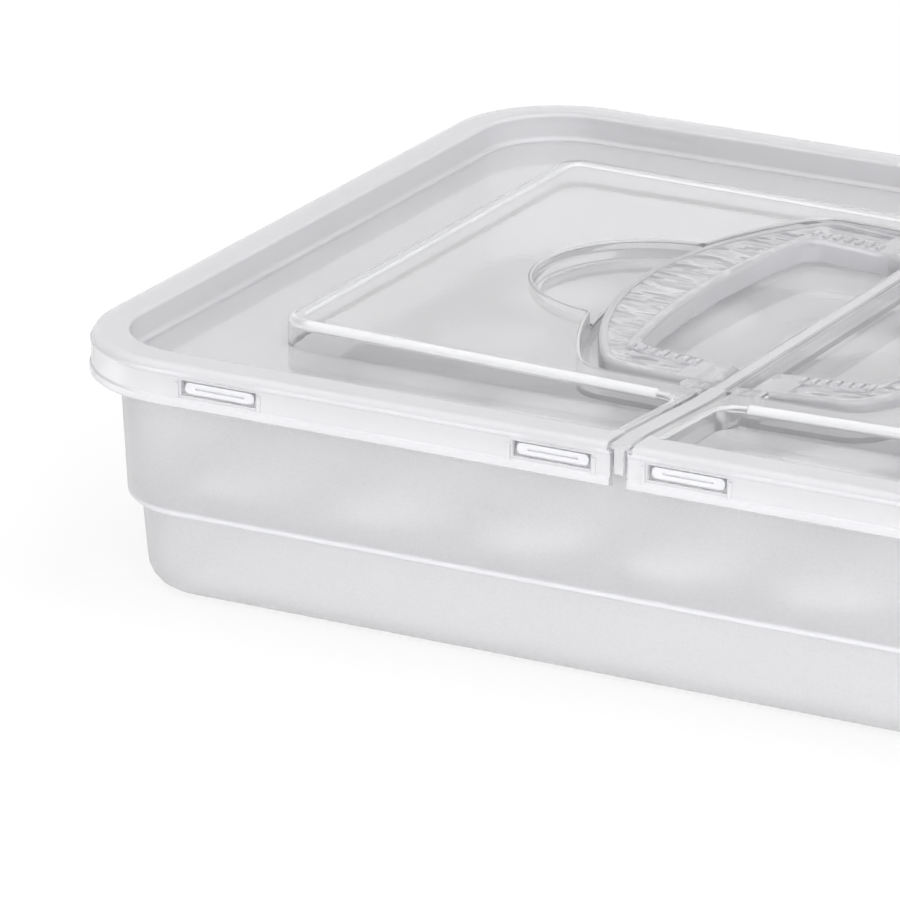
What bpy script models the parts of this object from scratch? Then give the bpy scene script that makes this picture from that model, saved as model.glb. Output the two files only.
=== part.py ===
"""Egg storage box: a stepped tub, a drop-in egg rack and a lid that folds along its spine.

Each half of the lid carries a swing handle that lies in a well. Metres, +Z up, front towards -Y.
The origin is on the table, under the middle of the tub.
"""

import math

import bmesh
import bpy
from mathutils import Matrix, Vector

# Whole box
BOX_WIDTH = 0.380
BOX_DEPTH = 0.289
RIM_HEIGHT = 0.080
CORNER_RADIUS = 0.038
CORNER_STEPS = 8
SEAT_GAP = 0.0003

# Lid rim and skirt
SKIRT_HEIGHT = 0.0128
SKIRT_WALL = 0.0016
SKIRT_BEAD = 0.0006
BEAD_HEIGHT = 0.0030
RIM_WIDTH = 0.012
RIM_ROUND = 0.0022
RIM_SHOULDER = 0.0004
LID_SHEET = 0.0014

# Raised panel and the channel round it
CHANNEL_DEPTH = 0.0088
SIDE_CHANNEL = 0.037
FRONT_CHANNEL = 0.041
PANEL_CORNER = 0.009
PANEL_BOW = 0.0012
PANEL_ROUND = 0.0022
PANEL_SAG = 0.0021

# Fold spine and the ridges beside it
SPINE_HALF = 0.0025
SPINE_WAIST = 0.0015
SPINE_THICK = 0.0020
SPINE_LIP = 0.0090
FOLD_GROOVE = 0.0015
GROOVE_DEPTH = 0.0018
RIDGE_HALF = 0.0075
RIDGE_FLARE = 0.007

# Room round the handle in its well, and the finger recess
WELL_SIDE_GAP = 0.004
WELL_END_GAP = 0.005
WELL_ARC_GAP = 0.014
WELL_CORNER_GAP = 0.002
RECESS_X = 0.063
RECESS_RADIUS = 0.0365
RECESS_DEPTH = 0.0062
RECESS_STEPS = 48

# Handle
HANDLE_HALF_X = 0.066
HANDLE_HALF_Y = 0.0755
HANDLE_ARC = 0.125
HANDLE_CORNER = 0.010
HANDLE_THICK = 0.0070
HANDLE_WALL = 0.0020
HANDLE_FLOOR_GAP = 0.0004
HANDLE_RISE = 0.0024
GRIP_WIDTH = 0.0215
ARM_WIDTH = 0.019
GRIP_INNER_ARC = 0.300
GRIP_INNER_CORNER = 0.006
HANDLE_ROUND = 0.0016
ARC_STEPS = 16
FILLET_STEPS = 6

# Handle pivot
PIVOT_X = 0.0075
PIVOT_RADIUS = 0.0022
PIVOT_LENGTH = 0.0040
PIVOT_CLEARANCE = 0.0003
PIVOT_STEPS = 24
EYE_INSET = 0.00005
BOSS_HALF = 0.0056
BOSS_WALL = 0.0016

# Grip ribs
ARM_RIB_COUNT = 7
ARM_RIB_PITCH = 0.0036
ARM_RIB_WIDTH = 0.0016
ARM_RIB_LENGTH = 0.0042
ARM_RIB_HEIGHT = 0.0008
ARM_RIB_EDGE = 0.0026
ARM_RIB_START = 0.009

# Snap windows in the skirt, and the tub's lugs behind them
WINDOW_WIDTH = 0.025
WINDOW_HEIGHT = 0.0046
WINDOW_TOP = 0.0044
WINDOW_INNER_X = 0.0215
WINDOW_OUTER_X = 0.1305
LUG_WIDTH = 0.023
LUG_HEIGHT = 0.0034

# Tub
TUB_WALL = 0.0016
TUB_LID_GAP = 0.0007
TUB_DRAFT = 0.0024
FLANGE_THICK = 0.0020
FLANGE_SKIRT_GAP = 0.0008
LEDGE_HEIGHT = 0.0282
LEDGE_WIDTH = 0.0042
LEDGE_ROUND = 0.0026
LOWER_DRAFT = 0.0015
FOOT_ROUND = 0.010

# Egg rack
RACK_THICK = 0.0018
RACK_WALL_GAP = 0.0006
EGG_COLUMNS = 7
EGG_ROWS = 5
EGG_PITCH_X = 0.0485
EGG_PITCH_Y = 0.0495
EGG_HOLE_RADIUS = 0.0197
EGG_HOLE_STEPS = 24
COLLAR_WALL = 0.0014
COLLAR_DROP = 0.0030

# Cutters run this far past what they cut
OVERRUN = 0.006

# Points closer than this are one, faces closer in slope than this are one, and a sharp edge bends more
MERGE_DISTANCE = 0.000001
FLAT_ANGLE = math.radians(0.1)
SHARP_ANGLE = math.radians(35)

# Rounded edges: share of the radius cut in, and share of it left below the top
ROUND_SHARES = ((0.0, 1.0), (0.12, 0.55), (0.42, 0.16), (1.0, 0.0))

CLEAR_PLASTIC = (0.82, 0.83, 0.87, 1.0)
FROSTED_PLASTIC = (0.78, 0.79, 0.83, 1.0)
TUB_PLASTIC = (0.74, 0.74, 0.79, 1.0)
RACK_PLASTIC = (0.80, 0.81, 0.84, 1.0)

# Sizes that follow from the ones above
HALF_X = BOX_WIDTH / 2
HALF_Y = BOX_DEPTH / 2
RIM_INNER_X = HALF_X - RIM_WIDTH
RIM_INNER_Y = HALF_Y - RIM_WIDTH
PANEL_HALF_X = RIM_INNER_X - SIDE_CHANNEL
PANEL_HALF_Y = RIM_INNER_Y - FRONT_CHANNEL
FOLD_X = SPINE_HALF + SEAT_GAP
HALF_EDGE_X = SPINE_HALF + FOLD_GROOVE
WELL_EDGE_X = SPINE_WAIST + SEAT_GAP
WELL_HALF_X = HANDLE_HALF_X + WELL_SIDE_GAP
WELL_HALF_Y = HANDLE_HALF_Y + WELL_END_GAP
WELL_ARC = HANDLE_ARC + WELL_ARC_GAP
WELL_CORNER = HANDLE_CORNER + WELL_CORNER_GAP
PIVOT_DEPTH = CHANNEL_DEPTH - HANDLE_FLOOR_GAP - HANDLE_THICK / 2
BOSS_INNER_Y = HANDLE_HALF_Y + SEAT_GAP
BOSS_OUTER_Y = HANDLE_HALF_Y + PIVOT_LENGTH + SEAT_GAP + BOSS_WALL
TUB_INSET = RIM_WIDTH - LID_SHEET - TUB_LID_GAP - TUB_WALL
FLANGE_INSET = SKIRT_BEAD + SKIRT_WALL + FLANGE_SKIRT_GAP
FLANGE_TOP = RIM_HEIGHT - LID_SHEET - SEAT_GAP
RACK_BASE = LEDGE_HEIGHT + TUB_WALL + SEAT_GAP


def clear_scene():
    for obj in list(bpy.data.objects):
        bpy.data.objects.remove(obj, do_unlink=True)


def new_collection(name):
    collection = bpy.data.collections.new(name)
    bpy.context.scene.collection.children.link(collection)
    return collection


def plastic(name, colour, roughness, transmission):
    material = bpy.data.materials.new(name)
    material.use_nodes = True
    shader = material.node_tree.nodes["Principled BSDF"]
    shader.inputs["Base Color"].default_value = colour
    shader.inputs["Roughness"].default_value = roughness
    shader.inputs["Metallic"].default_value = 0.0
    shader.inputs["Transmission Weight"].default_value = transmission
    return material


def object_from(name, mesh, collection):
    data = bpy.data.meshes.new(name)
    bmesh.ops.recalc_face_normals(mesh, faces=mesh.faces)
    mesh.to_mesh(data)
    mesh.free()
    obj = bpy.data.objects.new(name, data)
    collection.objects.link(obj)
    return obj


def cutter_look(obj):
    obj.hide_render = True
    obj.display_type = "WIRE"
    return obj


# Outlines

def arc(centre_x, centre_y, radius, start, end, steps):
    points = []
    for step in range(steps + 1):
        angle = start + (end - start) * step / steps
        points.append((centre_x + radius * math.cos(angle), centre_y + radius * math.sin(angle)))
    return points


def rounded_rectangle(inset, half_x=HALF_X, half_y=HALF_Y, radius=CORNER_RADIUS):
    """Outline of a rounded rectangle drawn in by inset, with points on its centre lines."""
    far_x, far_y, bend = half_x - inset, half_y - inset, radius - inset
    quarter = math.pi / 2
    points = []
    for turn, (side_x, side_y) in enumerate(((1, -1), (1, 1), (-1, 1), (-1, -1))):
        start = (turn - 1) * quarter
        centre_x, centre_y = side_x * (far_x - bend), side_y * (far_y - bend)
        points += arc(centre_x, centre_y, bend, start, start + quarter, CORNER_STEPS)
        middle = (far_x, far_y, -far_x, -far_y)[turn]
        points.append((middle, 0) if turn % 2 == 0 else (0, middle))
    return points


def panel_outline(inset):
    """The panel's front and back edges stand out further at the fold than at the corners."""
    points = []
    for x, y in rounded_rectangle(inset, PANEL_HALF_X, PANEL_HALF_Y, PANEL_CORNER):
        bow = PANEL_BOW * (1 - abs(x) / PANEL_HALF_X) * y / PANEL_HALF_Y
        points.append((x, y + bow))
    return points


def bowed_outline(half_x, half_y, bow, corner, edge_x, fillet_steps=FILLET_STEPS):
    """A D on the left side: straight ends at +-half_y, and a far side that bows out to -half_x."""
    centre_x = bow - half_x
    reach_y = half_y - corner
    fillet_x = centre_x - math.sqrt((bow - corner) ** 2 - reach_y**2)
    tip = math.atan2(reach_y, centre_x - fillet_x)
    down = 3 * math.pi / 2
    points = [(-edge_x, -half_y)]
    points += arc(fillet_x, -reach_y, corner, down, math.pi + tip, fillet_steps)
    points += arc(centre_x, 0, bow, math.pi + tip, math.pi - tip, ARC_STEPS)[1:-1]
    points += arc(fillet_x, reach_y, corner, math.pi - tip, math.pi / 2, fillet_steps)
    points.append((-edge_x, half_y))
    return points


def well_outline(outset, edge_x):
    return bowed_outline(
        WELL_HALF_X + outset,
        WELL_HALF_Y + outset,
        WELL_ARC + outset,
        WELL_CORNER + outset,
        edge_x,
    )


def handle_outer(inset, edge_x):
    return bowed_outline(
        HANDLE_HALF_X - inset,
        HANDLE_HALF_Y - inset,
        HANDLE_ARC - inset,
        HANDLE_CORNER - inset,
        edge_x,
    )


def handle_inner(outset, edge_x):
    return bowed_outline(
        HANDLE_HALF_X - GRIP_WIDTH + outset,
        HANDLE_HALF_Y - ARM_WIDTH + outset,
        GRIP_INNER_ARC + outset,
        GRIP_INNER_CORNER + outset,
        edge_x,
    )


# Solids

def lofted(name, rings, collection):
    """A closed solid through rings of (outline, height), all with the same number of points."""
    mesh = bmesh.new()
    loops = []
    for outline, height in rings:
        loops.append([mesh.verts.new((x, y, height)) for x, y in outline])
    count = len(loops[0])
    for lower, upper in zip(loops, loops[1:]):
        for here in range(count):
            there = (here + 1) % count
            mesh.faces.new((lower[here], lower[there], upper[there], upper[here]))
    mesh.faces.new(list(reversed(loops[0])))
    mesh.faces.new(loops[-1])
    return object_from(name, mesh, collection)


def prism(name, outline, low, high, collection):
    """A flat outline between two heights."""
    curve = bpy.data.curves.new(name, "CURVE")
    curve.dimensions = "2D"
    curve.fill_mode = "BOTH"
    curve.extrude = (high - low) / 2
    spline = curve.splines.new("POLY")
    spline.points.add(len(outline) - 1)
    for point, (x, y) in zip(spline.points, outline):
        point.co = (x, y, 0, 1)
    spline.use_cyclic_u = True
    drawn = bpy.data.objects.new(name, curve)
    bpy.context.scene.collection.objects.link(drawn)
    graph = bpy.context.evaluated_depsgraph_get()
    mesh = bmesh.new()
    mesh.from_mesh(bpy.data.meshes.new_from_object(drawn.evaluated_get(graph)))
    bmesh.ops.remove_doubles(mesh, verts=mesh.verts, dist=MERGE_DISTANCE)
    bmesh.ops.dissolve_limit(mesh, angle_limit=FLAT_ANGLE, verts=mesh.verts, edges=mesh.edges)
    bmesh.ops.translate(mesh, vec=(0, 0, (high + low) / 2), verts=mesh.verts)
    bpy.data.objects.remove(drawn, do_unlink=True)
    return object_from(name, mesh, collection)


def block(name, low, high, collection):
    """A box between two corners."""
    mesh = bmesh.new()
    bmesh.ops.create_cube(mesh, size=1)
    size = Vector(high) - Vector(low)
    middle = (Vector(high) + Vector(low)) / 2
    bmesh.ops.scale(mesh, vec=size, verts=mesh.verts)
    bmesh.ops.translate(mesh, vec=middle, verts=mesh.verts)
    return object_from(name, mesh, collection)


def cylinder(name, centre, radius, length, axis, steps, collection):
    mesh = bmesh.new()
    bmesh.ops.create_cone(
        mesh, cap_ends=True, segments=steps, radius1=radius, radius2=radius, depth=length
    )
    turn = Matrix.Rotation(math.pi / 2, 4, "X") if axis == "Y" else Matrix.Identity(4)
    bmesh.ops.transform(mesh, matrix=Matrix.Translation(centre) @ turn, verts=mesh.verts)
    return object_from(name, mesh, collection)


def combine(target, other, operation):
    modifier = target.modifiers.new(other.name, "BOOLEAN")
    modifier.operation = operation
    modifier.solver = "EXACT"
    modifier.object = other
    return target


def cut(target, *others):
    for other in others:
        combine(target, cutter_look(other), "DIFFERENCE")
    return target


def join(target, *others):
    for other in others:
        combine(target, cutter_look(other), "UNION")
    return target


def settle(obj):
    """Turns an object with modifiers into a plain mesh of the shape that they make."""
    bpy.context.view_layer.update()
    graph = bpy.context.evaluated_depsgraph_get()
    made = bpy.data.meshes.new_from_object(obj.evaluated_get(graph))
    obj.modifiers.clear()
    obj.data = made
    return obj


def edit(obj):
    mesh = bmesh.new()
    mesh.from_mesh(obj.data)
    return mesh


def finish_edit(obj, mesh):
    mesh.to_mesh(obj.data)
    mesh.free()


def score(obj, planes):
    """Edges along each plane of (point, normal), so that a bend there stays crisp."""
    mesh = edit(obj)
    for point, normal in planes:
        every = mesh.verts[:] + mesh.edges[:] + mesh.faces[:]
        bmesh.ops.bisect_plane(mesh, geom=every, plane_co=point, plane_no=normal)
    bmesh.ops.triangulate(mesh, faces=mesh.faces)
    finish_edit(obj, mesh)
    return obj


def smooth(obj):
    obj.data.shade_smooth()
    obj.data.set_sharp_from_angle(angle=SHARP_ANGLE)
    return obj


def mirrored(obj, name, collection):
    """The same piece for the other side of the fold."""
    mesh = edit(obj)
    bmesh.ops.transform(mesh, matrix=Matrix.Scale(-1, 4, (1, 0, 0)), verts=mesh.verts)
    bmesh.ops.reverse_faces(mesh, faces=mesh.faces)
    return object_from(name, mesh, collection)


def move_origin(obj, origin):
    obj.data.transform(Matrix.Translation(-Vector(origin)))
    obj.location = origin
    return obj


# The lid dips towards the fold

def sag(x, y):
    along = max(0.0, 1 - abs(x) / PANEL_HALF_X)
    edge_y = PANEL_HALF_Y + PANEL_BOW
    across = min(1.0, max(0.0, (RIM_INNER_Y - abs(y)) / (RIM_INNER_Y - edge_y)))
    return PANEL_SAG * along * across


def dip_lid(obj):
    """Lowers the panel and all it carries, and leaves the rim and the channel floor level."""
    edge_y = PANEL_HALF_Y + PANEL_BOW
    planes = [((-PANEL_HALF_X, 0, 0), (1, 0, 0))]
    for side in (-1, 1):
        planes.append(((0, side * edge_y, 0), (0, 1, 0)))
        planes.append(((0, side * RIM_INNER_Y, 0), (0, 1, 0)))
    score(obj, planes)
    channel_floor = RIM_HEIGHT - CHANNEL_DEPTH + SEAT_GAP
    well_end_y = WELL_HALF_Y + LID_SHEET + SEAT_GAP
    for vertex in obj.data.vertices:
        x, y, z = vertex.co
        if z > channel_floor or abs(y) < well_end_y:
            vertex.co.z = z - sag(x, y)
    return obj


def dip_handle(obj):
    """A handle follows the dip, and its arms rise a little from the pivot to the grip."""
    for vertex in obj.data.vertices:
        x, y, z = vertex.co
        climb = (abs(x) - PIVOT_X) / (HANDLE_HALF_X - PIVOT_X)
        vertex.co.z = z - sag(x, y) + HANDLE_RISE * climb
    return obj


# Lid half

def rounded_rings(outline_at, low, high, radius, start_inset=0.0):
    """Rings of a prism whose top edge is rounded."""
    rings = [(outline_at(start_inset), low)]
    for in_share, down_share in ROUND_SHARES:
        rings.append((outline_at(start_inset + radius * in_share), high - radius * down_share))
    return rings


def lid_shell(cutters):
    """Rim, skirt and channel floor over the whole lid, still closed at the fold."""
    base = RIM_HEIGHT - SKIRT_HEIGHT
    bead_top = base + BEAD_HEIGHT
    rings = [
        (rounded_rectangle(0), base),
        (rounded_rectangle(0), bead_top - SKIRT_BEAD),
        (rounded_rectangle(SKIRT_BEAD), bead_top),
    ]
    shoulder = RIM_HEIGHT - RIM_ROUND - RIM_SHOULDER
    rings.append((rounded_rectangle(SKIRT_BEAD), shoulder))
    inset = SKIRT_BEAD + RIM_SHOULDER
    for in_share, down_share in ROUND_SHARES:
        outline = rounded_rectangle(inset + RIM_ROUND * in_share)
        rings.append((outline, RIM_HEIGHT - RIM_ROUND * down_share))
    shell = lofted("lid_left", rings, cutters)
    channel = prism(
        "lid_channel",
        rounded_rectangle(RIM_WIDTH),
        RIM_HEIGHT - CHANNEL_DEPTH,
        RIM_HEIGHT + OVERRUN,
        cutters,
    )
    return cut(shell, channel)


def panel_body(cutters):
    """The raised panel, from inside the channel floor to the rim's level."""
    low = RIM_HEIGHT - CHANNEL_DEPTH - LID_SHEET / 2
    return lofted("lid_panel", rounded_rings(panel_outline, low, RIM_HEIGHT, PANEL_ROUND), cutters)


def ridge_bodies(cutters):
    """Ridges that tie the panel to the front and back rim beside the fold."""
    low = RIM_HEIGHT - CHANNEL_DEPTH - LID_SHEET / 2
    flare_y = PANEL_HALF_Y + PANEL_BOW + RIDGE_FLARE
    inner_y = PANEL_HALF_Y - PANEL_ROUND
    outer_y = RIM_INNER_Y + LID_SHEET / 2
    bodies = []
    for side in (-1, 1):
        corner = arc(
            -RIDGE_HALF - RIDGE_FLARE, flare_y, RIDGE_FLARE, -math.pi / 2, 0, FILLET_STEPS
        )
        half = [(-RIDGE_HALF - RIDGE_FLARE, inner_y)] + corner + [(-RIDGE_HALF, outer_y)]
        outline = half + [(-x, y) for x, y in reversed(half)]
        outline = [(x, side * y) for x, y in outline]
        bodies.append(prism(f"lid_ridge_{side}", outline, low, RIM_HEIGHT, cutters))
    return bodies


def skirt_hollow(cutters):
    """Space under the lid: all below the channel floor, and the groove that the tub's flange fills."""
    low = RIM_HEIGHT - SKIRT_HEIGHT - OVERRUN
    inset = SKIRT_BEAD + SKIRT_WALL
    hollow = prism("lid_hollow", rounded_rectangle(inset), low, RIM_HEIGHT - LID_SHEET, cutters)
    core_base = RIM_HEIGHT - CHANNEL_DEPTH - LID_SHEET
    core = prism(
        "lid_core", rounded_rectangle(RIM_WIDTH - LID_SHEET), core_base, RIM_HEIGHT + OVERRUN, cutters
    )
    return cut(hollow, core)


def panel_hollow(cutters):
    """Space under the panel and the ridges, clear of the well, the finger recess and the bosses."""
    low = RIM_HEIGHT - CHANNEL_DEPTH - LID_SHEET - OVERRUN
    high = RIM_HEIGHT - LID_SHEET
    hollow = prism("panel_hollow", panel_outline(LID_SHEET), low, high, cutters)
    inner = RIDGE_HALF - LID_SHEET
    for side in (-1, 1):
        ends = sorted((side * PANEL_HALF_Y / 2, side * (RIM_INNER_Y - LID_SHEET)))
        ridge = block(f"ridge_hollow_{side}", (-inner, ends[0], low), (inner, ends[1], high), cutters)
        join(hollow, ridge)
    top = RIM_HEIGHT + OVERRUN
    base = RIM_HEIGHT - CHANNEL_DEPTH - LID_SHEET
    well = prism("well_wall", well_outline(LID_SHEET, -WELL_EDGE_X), base, top, cutters)
    recess = cylinder(
        "recess_wall",
        (-RECESS_X, 0, RIM_HEIGHT - RECESS_DEPTH - LID_SHEET + BOX_WIDTH / 2),
        RECESS_RADIUS + LID_SHEET,
        BOX_WIDTH,
        "Z",
        RECESS_STEPS,
        cutters,
    )
    cut(hollow, well, recess)
    for side in (-1, 1):
        cut(hollow, pivot_boss(side, base, top, cutters))
        cut(hollow, fold_ledge(side, top, cutters))
    return hollow


def pivot_boss(side, base, top, cutters):
    ends = sorted((side * (HANDLE_HALF_Y - ARM_WIDTH), side * BOSS_OUTER_Y))
    low = (-PIVOT_X - BOSS_HALF, ends[0], base)
    high = (0, ends[1], top)
    return block(f"pivot_boss_{side}", low, high, cutters)


def fold_ledge(side, top, cutters):
    """The sheet beside the fold, from the well out to the rim."""
    ends = sorted((side * (WELL_HALF_Y - LID_SHEET), side * (HALF_Y - RIM_WIDTH / 2)))
    low = (-HALF_EDGE_X - LID_SHEET, ends[0], RIM_HEIGHT - CHANNEL_DEPTH - LID_SHEET - OVERRUN * 2)
    return block(f"fold_ledge_{side}", low, (0, ends[1], top), cutters)


def well_space(cutters):
    """The well itself, its finger recess and, beside the pivots, the bosses left standing in it."""
    top = RIM_HEIGHT + OVERRUN
    base = RIM_HEIGHT - CHANNEL_DEPTH
    space = prism("well_space", well_outline(0, WELL_EDGE_X + LID_SHEET), base, top, cutters)
    for side in (-1, 1):
        ends = sorted((side * BOSS_INNER_Y, side * (WELL_HALF_Y + OVERRUN)))
        low = (-PIVOT_X - BOSS_HALF, ends[0], base - OVERRUN)
        cut(space, block(f"boss_face_{side}", low, (0, ends[1], top + OVERRUN), cutters))
    depth = RECESS_DEPTH + OVERRUN
    recess = cylinder(
        "recess_space",
        (-RECESS_X, 0, RIM_HEIGHT + OVERRUN - depth / 2),
        RECESS_RADIUS,
        depth,
        "Z",
        RECESS_STEPS,
        cutters,
    )
    return space, recess


def pivot_holes(cutters):
    holes = []
    for side in (-1, 1):
        length = PIVOT_LENGTH + 2 * SEAT_GAP
        centre = (-PIVOT_X, side * (HANDLE_HALF_Y + length / 2), RIM_HEIGHT - PIVOT_DEPTH)
        radius = PIVOT_RADIUS + PIVOT_CLEARANCE
        holes.append(cylinder(f"pivot_hole_{side}", centre, radius, length, "Y", PIVOT_STEPS, cutters))
    return holes


def fold_side(cutters):
    """What lies past the left half's edge: the groove beside the spine and the other half."""
    low = RIM_HEIGHT - SKIRT_HEIGHT - OVERRUN
    top = RIM_HEIGHT + OVERRUN
    far = HALF_Y + OVERRUN
    slots = [block("past_well", (-WELL_EDGE_X, -far, low), (HALF_X + OVERRUN, far, top), cutters)]
    groove_floor = RIM_HEIGHT - GROOVE_DEPTH - LID_SHEET / 2
    for side in (-1, 1):
        ends = sorted((side * BOSS_OUTER_Y, side * far))
        slots.append(block(f"past_ridge_{side}", (-FOLD_X, ends[0], low), (0, ends[1], top), cutters))
        slots.append(
            block(f"groove_{side}", (-HALF_EDGE_X, ends[0], groove_floor), (0, ends[1], top), cutters)
        )
    return slots


def snap_windows(cutters):
    windows = []
    top = RIM_HEIGHT - WINDOW_TOP
    for side in (-1, 1):
        inner_y = HALF_Y - FLANGE_INSET + SEAT_GAP
        ends = sorted((side * inner_y, side * (HALF_Y + OVERRUN)))
        for place, middle in enumerate((WINDOW_INNER_X, WINDOW_OUTER_X)):
            low = (-middle - WINDOW_WIDTH / 2, ends[0], top - WINDOW_HEIGHT)
            high = (-middle + WINDOW_WIDTH / 2, ends[1], top)
            windows.append(block(f"window_{side}_{place}", low, high, cutters))
    return windows


def lid_half(collection, cutters):
    half = lid_shell(cutters)
    join(half, panel_body(cutters), *ridge_bodies(cutters))
    cut(half, skirt_hollow(cutters), panel_hollow(cutters))
    cut(half, *well_space(cutters))
    cut(half, *pivot_holes(cutters), *snap_windows(cutters), *fold_side(cutters))
    settle(half)
    cutters.objects.unlink(half)
    collection.objects.link(half)
    return dip_lid(half)


# Spine

def spine(collection, cutters):
    """The strip between the folds: wide under the ridges, narrow between the wells."""
    top = RIM_HEIGHT
    low = top - SPINE_THICK
    wide_y = BOSS_OUTER_Y + SEAT_GAP
    end_y = HALF_Y - SKIRT_BEAD
    waist_y = wide_y + SPINE_WAIST
    body = block("lid_spine", (-SPINE_WAIST, -waist_y, low), (SPINE_WAIST, waist_y, top), collection)
    runs = (
        ("run", SPINE_HALF, wide_y, RIM_INNER_Y, low),
        ("end", SPINE_HALF, RIM_INNER_Y - SPINE_HALF, end_y, top - LID_SHEET),
        ("lip", SPINE_WAIST, end_y - SKIRT_WALL, end_y, top - SPINE_LIP),
    )
    for side in (-1, 1):
        for name, half_x, near_y, far_y, base in runs:
            ends = sorted((side * near_y, side * far_y))
            low_corner = (-half_x, ends[0], base)
            high_corner = (half_x, ends[1], top)
            join(body, block(f"spine_{name}_{side}", low_corner, high_corner, cutters))
    settle(body)
    edge_y = PANEL_HALF_Y + PANEL_BOW
    planes = []
    for side in (-1, 1):
        planes.append(((0, side * edge_y, 0), (0, 1, 0)))
        planes.append(((0, side * RIM_INNER_Y, 0), (0, 1, 0)))
    score(body, planes)
    for vertex in body.data.vertices:
        vertex.co.z -= sag(FOLD_X, vertex.co.y)
    return body


# Handle

def handle(collection, cutters):
    top = RIM_HEIGHT - PIVOT_DEPTH + HANDLE_THICK / 2
    low = top - HANDLE_THICK
    rings = [
        (handle_outer(HANDLE_ROUND / 2, PIVOT_X), low),
        (handle_outer(0, PIVOT_X), low + HANDLE_ROUND / 2),
    ]
    for in_share, down_share in ROUND_SHARES:
        rings.append((handle_outer(HANDLE_ROUND * in_share, PIVOT_X), top - HANDLE_ROUND * down_share))
    body = lofted("handle_left", rings, collection)
    opening = [(handle_inner(0, -PIVOT_X), low - OVERRUN)]
    for in_share, down_share in ROUND_SHARES:
        opening.append((handle_inner(HANDLE_ROUND * in_share, -PIVOT_X), top - HANDLE_ROUND * down_share))
    opening.append((handle_inner(HANDLE_ROUND, -PIVOT_X), top + OVERRUN))
    cut(body, lofted("handle_opening", opening, cutters))
    cut(body, handle_hollow(low, top, cutters))
    for side in (-1, 1):
        join(body, *pivot_end(side, cutters))
    join(body, *arm_ribs(top, cutters))
    settle(body)
    return dip_handle(score(body, []))


def handle_hollow(low, top, cutters):
    """The bar is a channel, open below, closed near the pivots."""
    edge_x = PIVOT_X + BOSS_HALF
    hollow = prism(
        "handle_hollow", handle_outer(HANDLE_WALL, edge_x), low - OVERRUN, top - HANDLE_WALL, cutters
    )
    core = prism(
        "handle_core", handle_inner(HANDLE_WALL, -edge_x), low - 2 * OVERRUN, top + OVERRUN, cutters
    )
    return cut(hollow, core)


def pivot_end(side, cutters):
    """Round eye at an arm's end, and the pin that turns in the lid's boss."""
    height = RIM_HEIGHT - PIVOT_DEPTH
    eye_radius = HANDLE_THICK / 2 - EYE_INSET
    inner_y = HANDLE_HALF_Y - ARM_WIDTH + HANDLE_ROUND
    outer_y = HANDLE_HALF_Y - SEAT_GAP / 2
    middle = side * (inner_y + outer_y) / 2
    eye = cylinder(
        f"eye_{side}", (-PIVOT_X, middle, height), eye_radius, outer_y - inner_y, "Y", PIVOT_STEPS, cutters
    )
    length = PIVOT_LENGTH + HANDLE_ROUND
    middle = side * (HANDLE_HALF_Y - HANDLE_ROUND + length / 2)
    pin = cylinder(
        f"pin_{side}", (-PIVOT_X, middle, height), PIVOT_RADIUS, length, "Y", PIVOT_STEPS, cutters
    )
    return eye, pin


def arm_ribs(top, cutters):
    """A row of plain ribs along the inner edge of each arm."""
    ribs = []
    for side in (-1, 1):
        edge = HANDLE_HALF_Y - ARM_WIDTH + ARM_RIB_EDGE
        ends = sorted((side * edge, side * (edge + ARM_RIB_LENGTH)))
        for place in range(ARM_RIB_COUNT):
            x = -PIVOT_X - ARM_RIB_START - place * ARM_RIB_PITCH
            low = (x - ARM_RIB_WIDTH, ends[0], top - HANDLE_WALL / 2)
            ribs.append(block(f"rib_{side}_{place}", low, (x, ends[1], top + ARM_RIB_HEIGHT), cutters))
    return ribs


# Tub

def tub_rings(shift):
    """Rings of the tub's wall from the table up, drawn in by shift for the inner face."""
    foot = FOOT_ROUND - shift
    lower_inset = TUB_INSET + TUB_DRAFT + LEDGE_WIDTH + LOWER_DRAFT + shift
    rings = []
    for in_share, down_share in reversed(ROUND_SHARES):
        rings.append((rounded_rectangle(lower_inset + foot * in_share), shift + foot * down_share))
    ledge = LEDGE_HEIGHT + shift
    step_inset = TUB_INSET + TUB_DRAFT + LEDGE_WIDTH + shift
    bend = LEDGE_ROUND - shift
    rings.append((rounded_rectangle(step_inset), ledge))
    rings.append((rounded_rectangle(TUB_INSET + TUB_DRAFT + shift + bend / 2), ledge + bend / 6))
    rings.append((rounded_rectangle(TUB_INSET + TUB_DRAFT + shift), ledge + bend))
    return rings


def tub(collection, cutters):
    body = lofted("tub", tub_rings(0) + [(rounded_rectangle(TUB_INSET), FLANGE_TOP)], collection)
    flange = prism(
        "tub_flange", rounded_rectangle(FLANGE_INSET), FLANGE_TOP - FLANGE_THICK, FLANGE_TOP, cutters
    )
    inner = rounded_rectangle(TUB_INSET + TUB_WALL)
    rings = tub_rings(TUB_WALL) + [(inner, FLANGE_TOP), (inner, FLANGE_TOP + OVERRUN)]
    space = lofted("tub_space", rings, cutters)
    join(body, flange, *snap_lugs(cutters))
    cut(body, space)
    return settle(body)


def snap_lugs(cutters):
    """Bars under the flange that show through the windows in the lid's skirt."""
    lugs = []
    top = RIM_HEIGHT - WINDOW_TOP - WINDOW_HEIGHT / 2 + LUG_HEIGHT / 2
    for side in (-1, 1):
        ends = sorted((side * (HALF_Y - TUB_INSET - TUB_WALL / 2), side * (HALF_Y - FLANGE_INSET)))
        for middle in (-WINDOW_OUTER_X, -WINDOW_INNER_X, WINDOW_INNER_X, WINDOW_OUTER_X):
            low = (middle - LUG_WIDTH / 2, ends[0], top - LUG_HEIGHT)
            high = (middle + LUG_WIDTH / 2, ends[1], top)
            lugs.append(block(f"lug_{side}_{middle:.3f}", low, high, cutters))
    return lugs


# Egg rack

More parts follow.
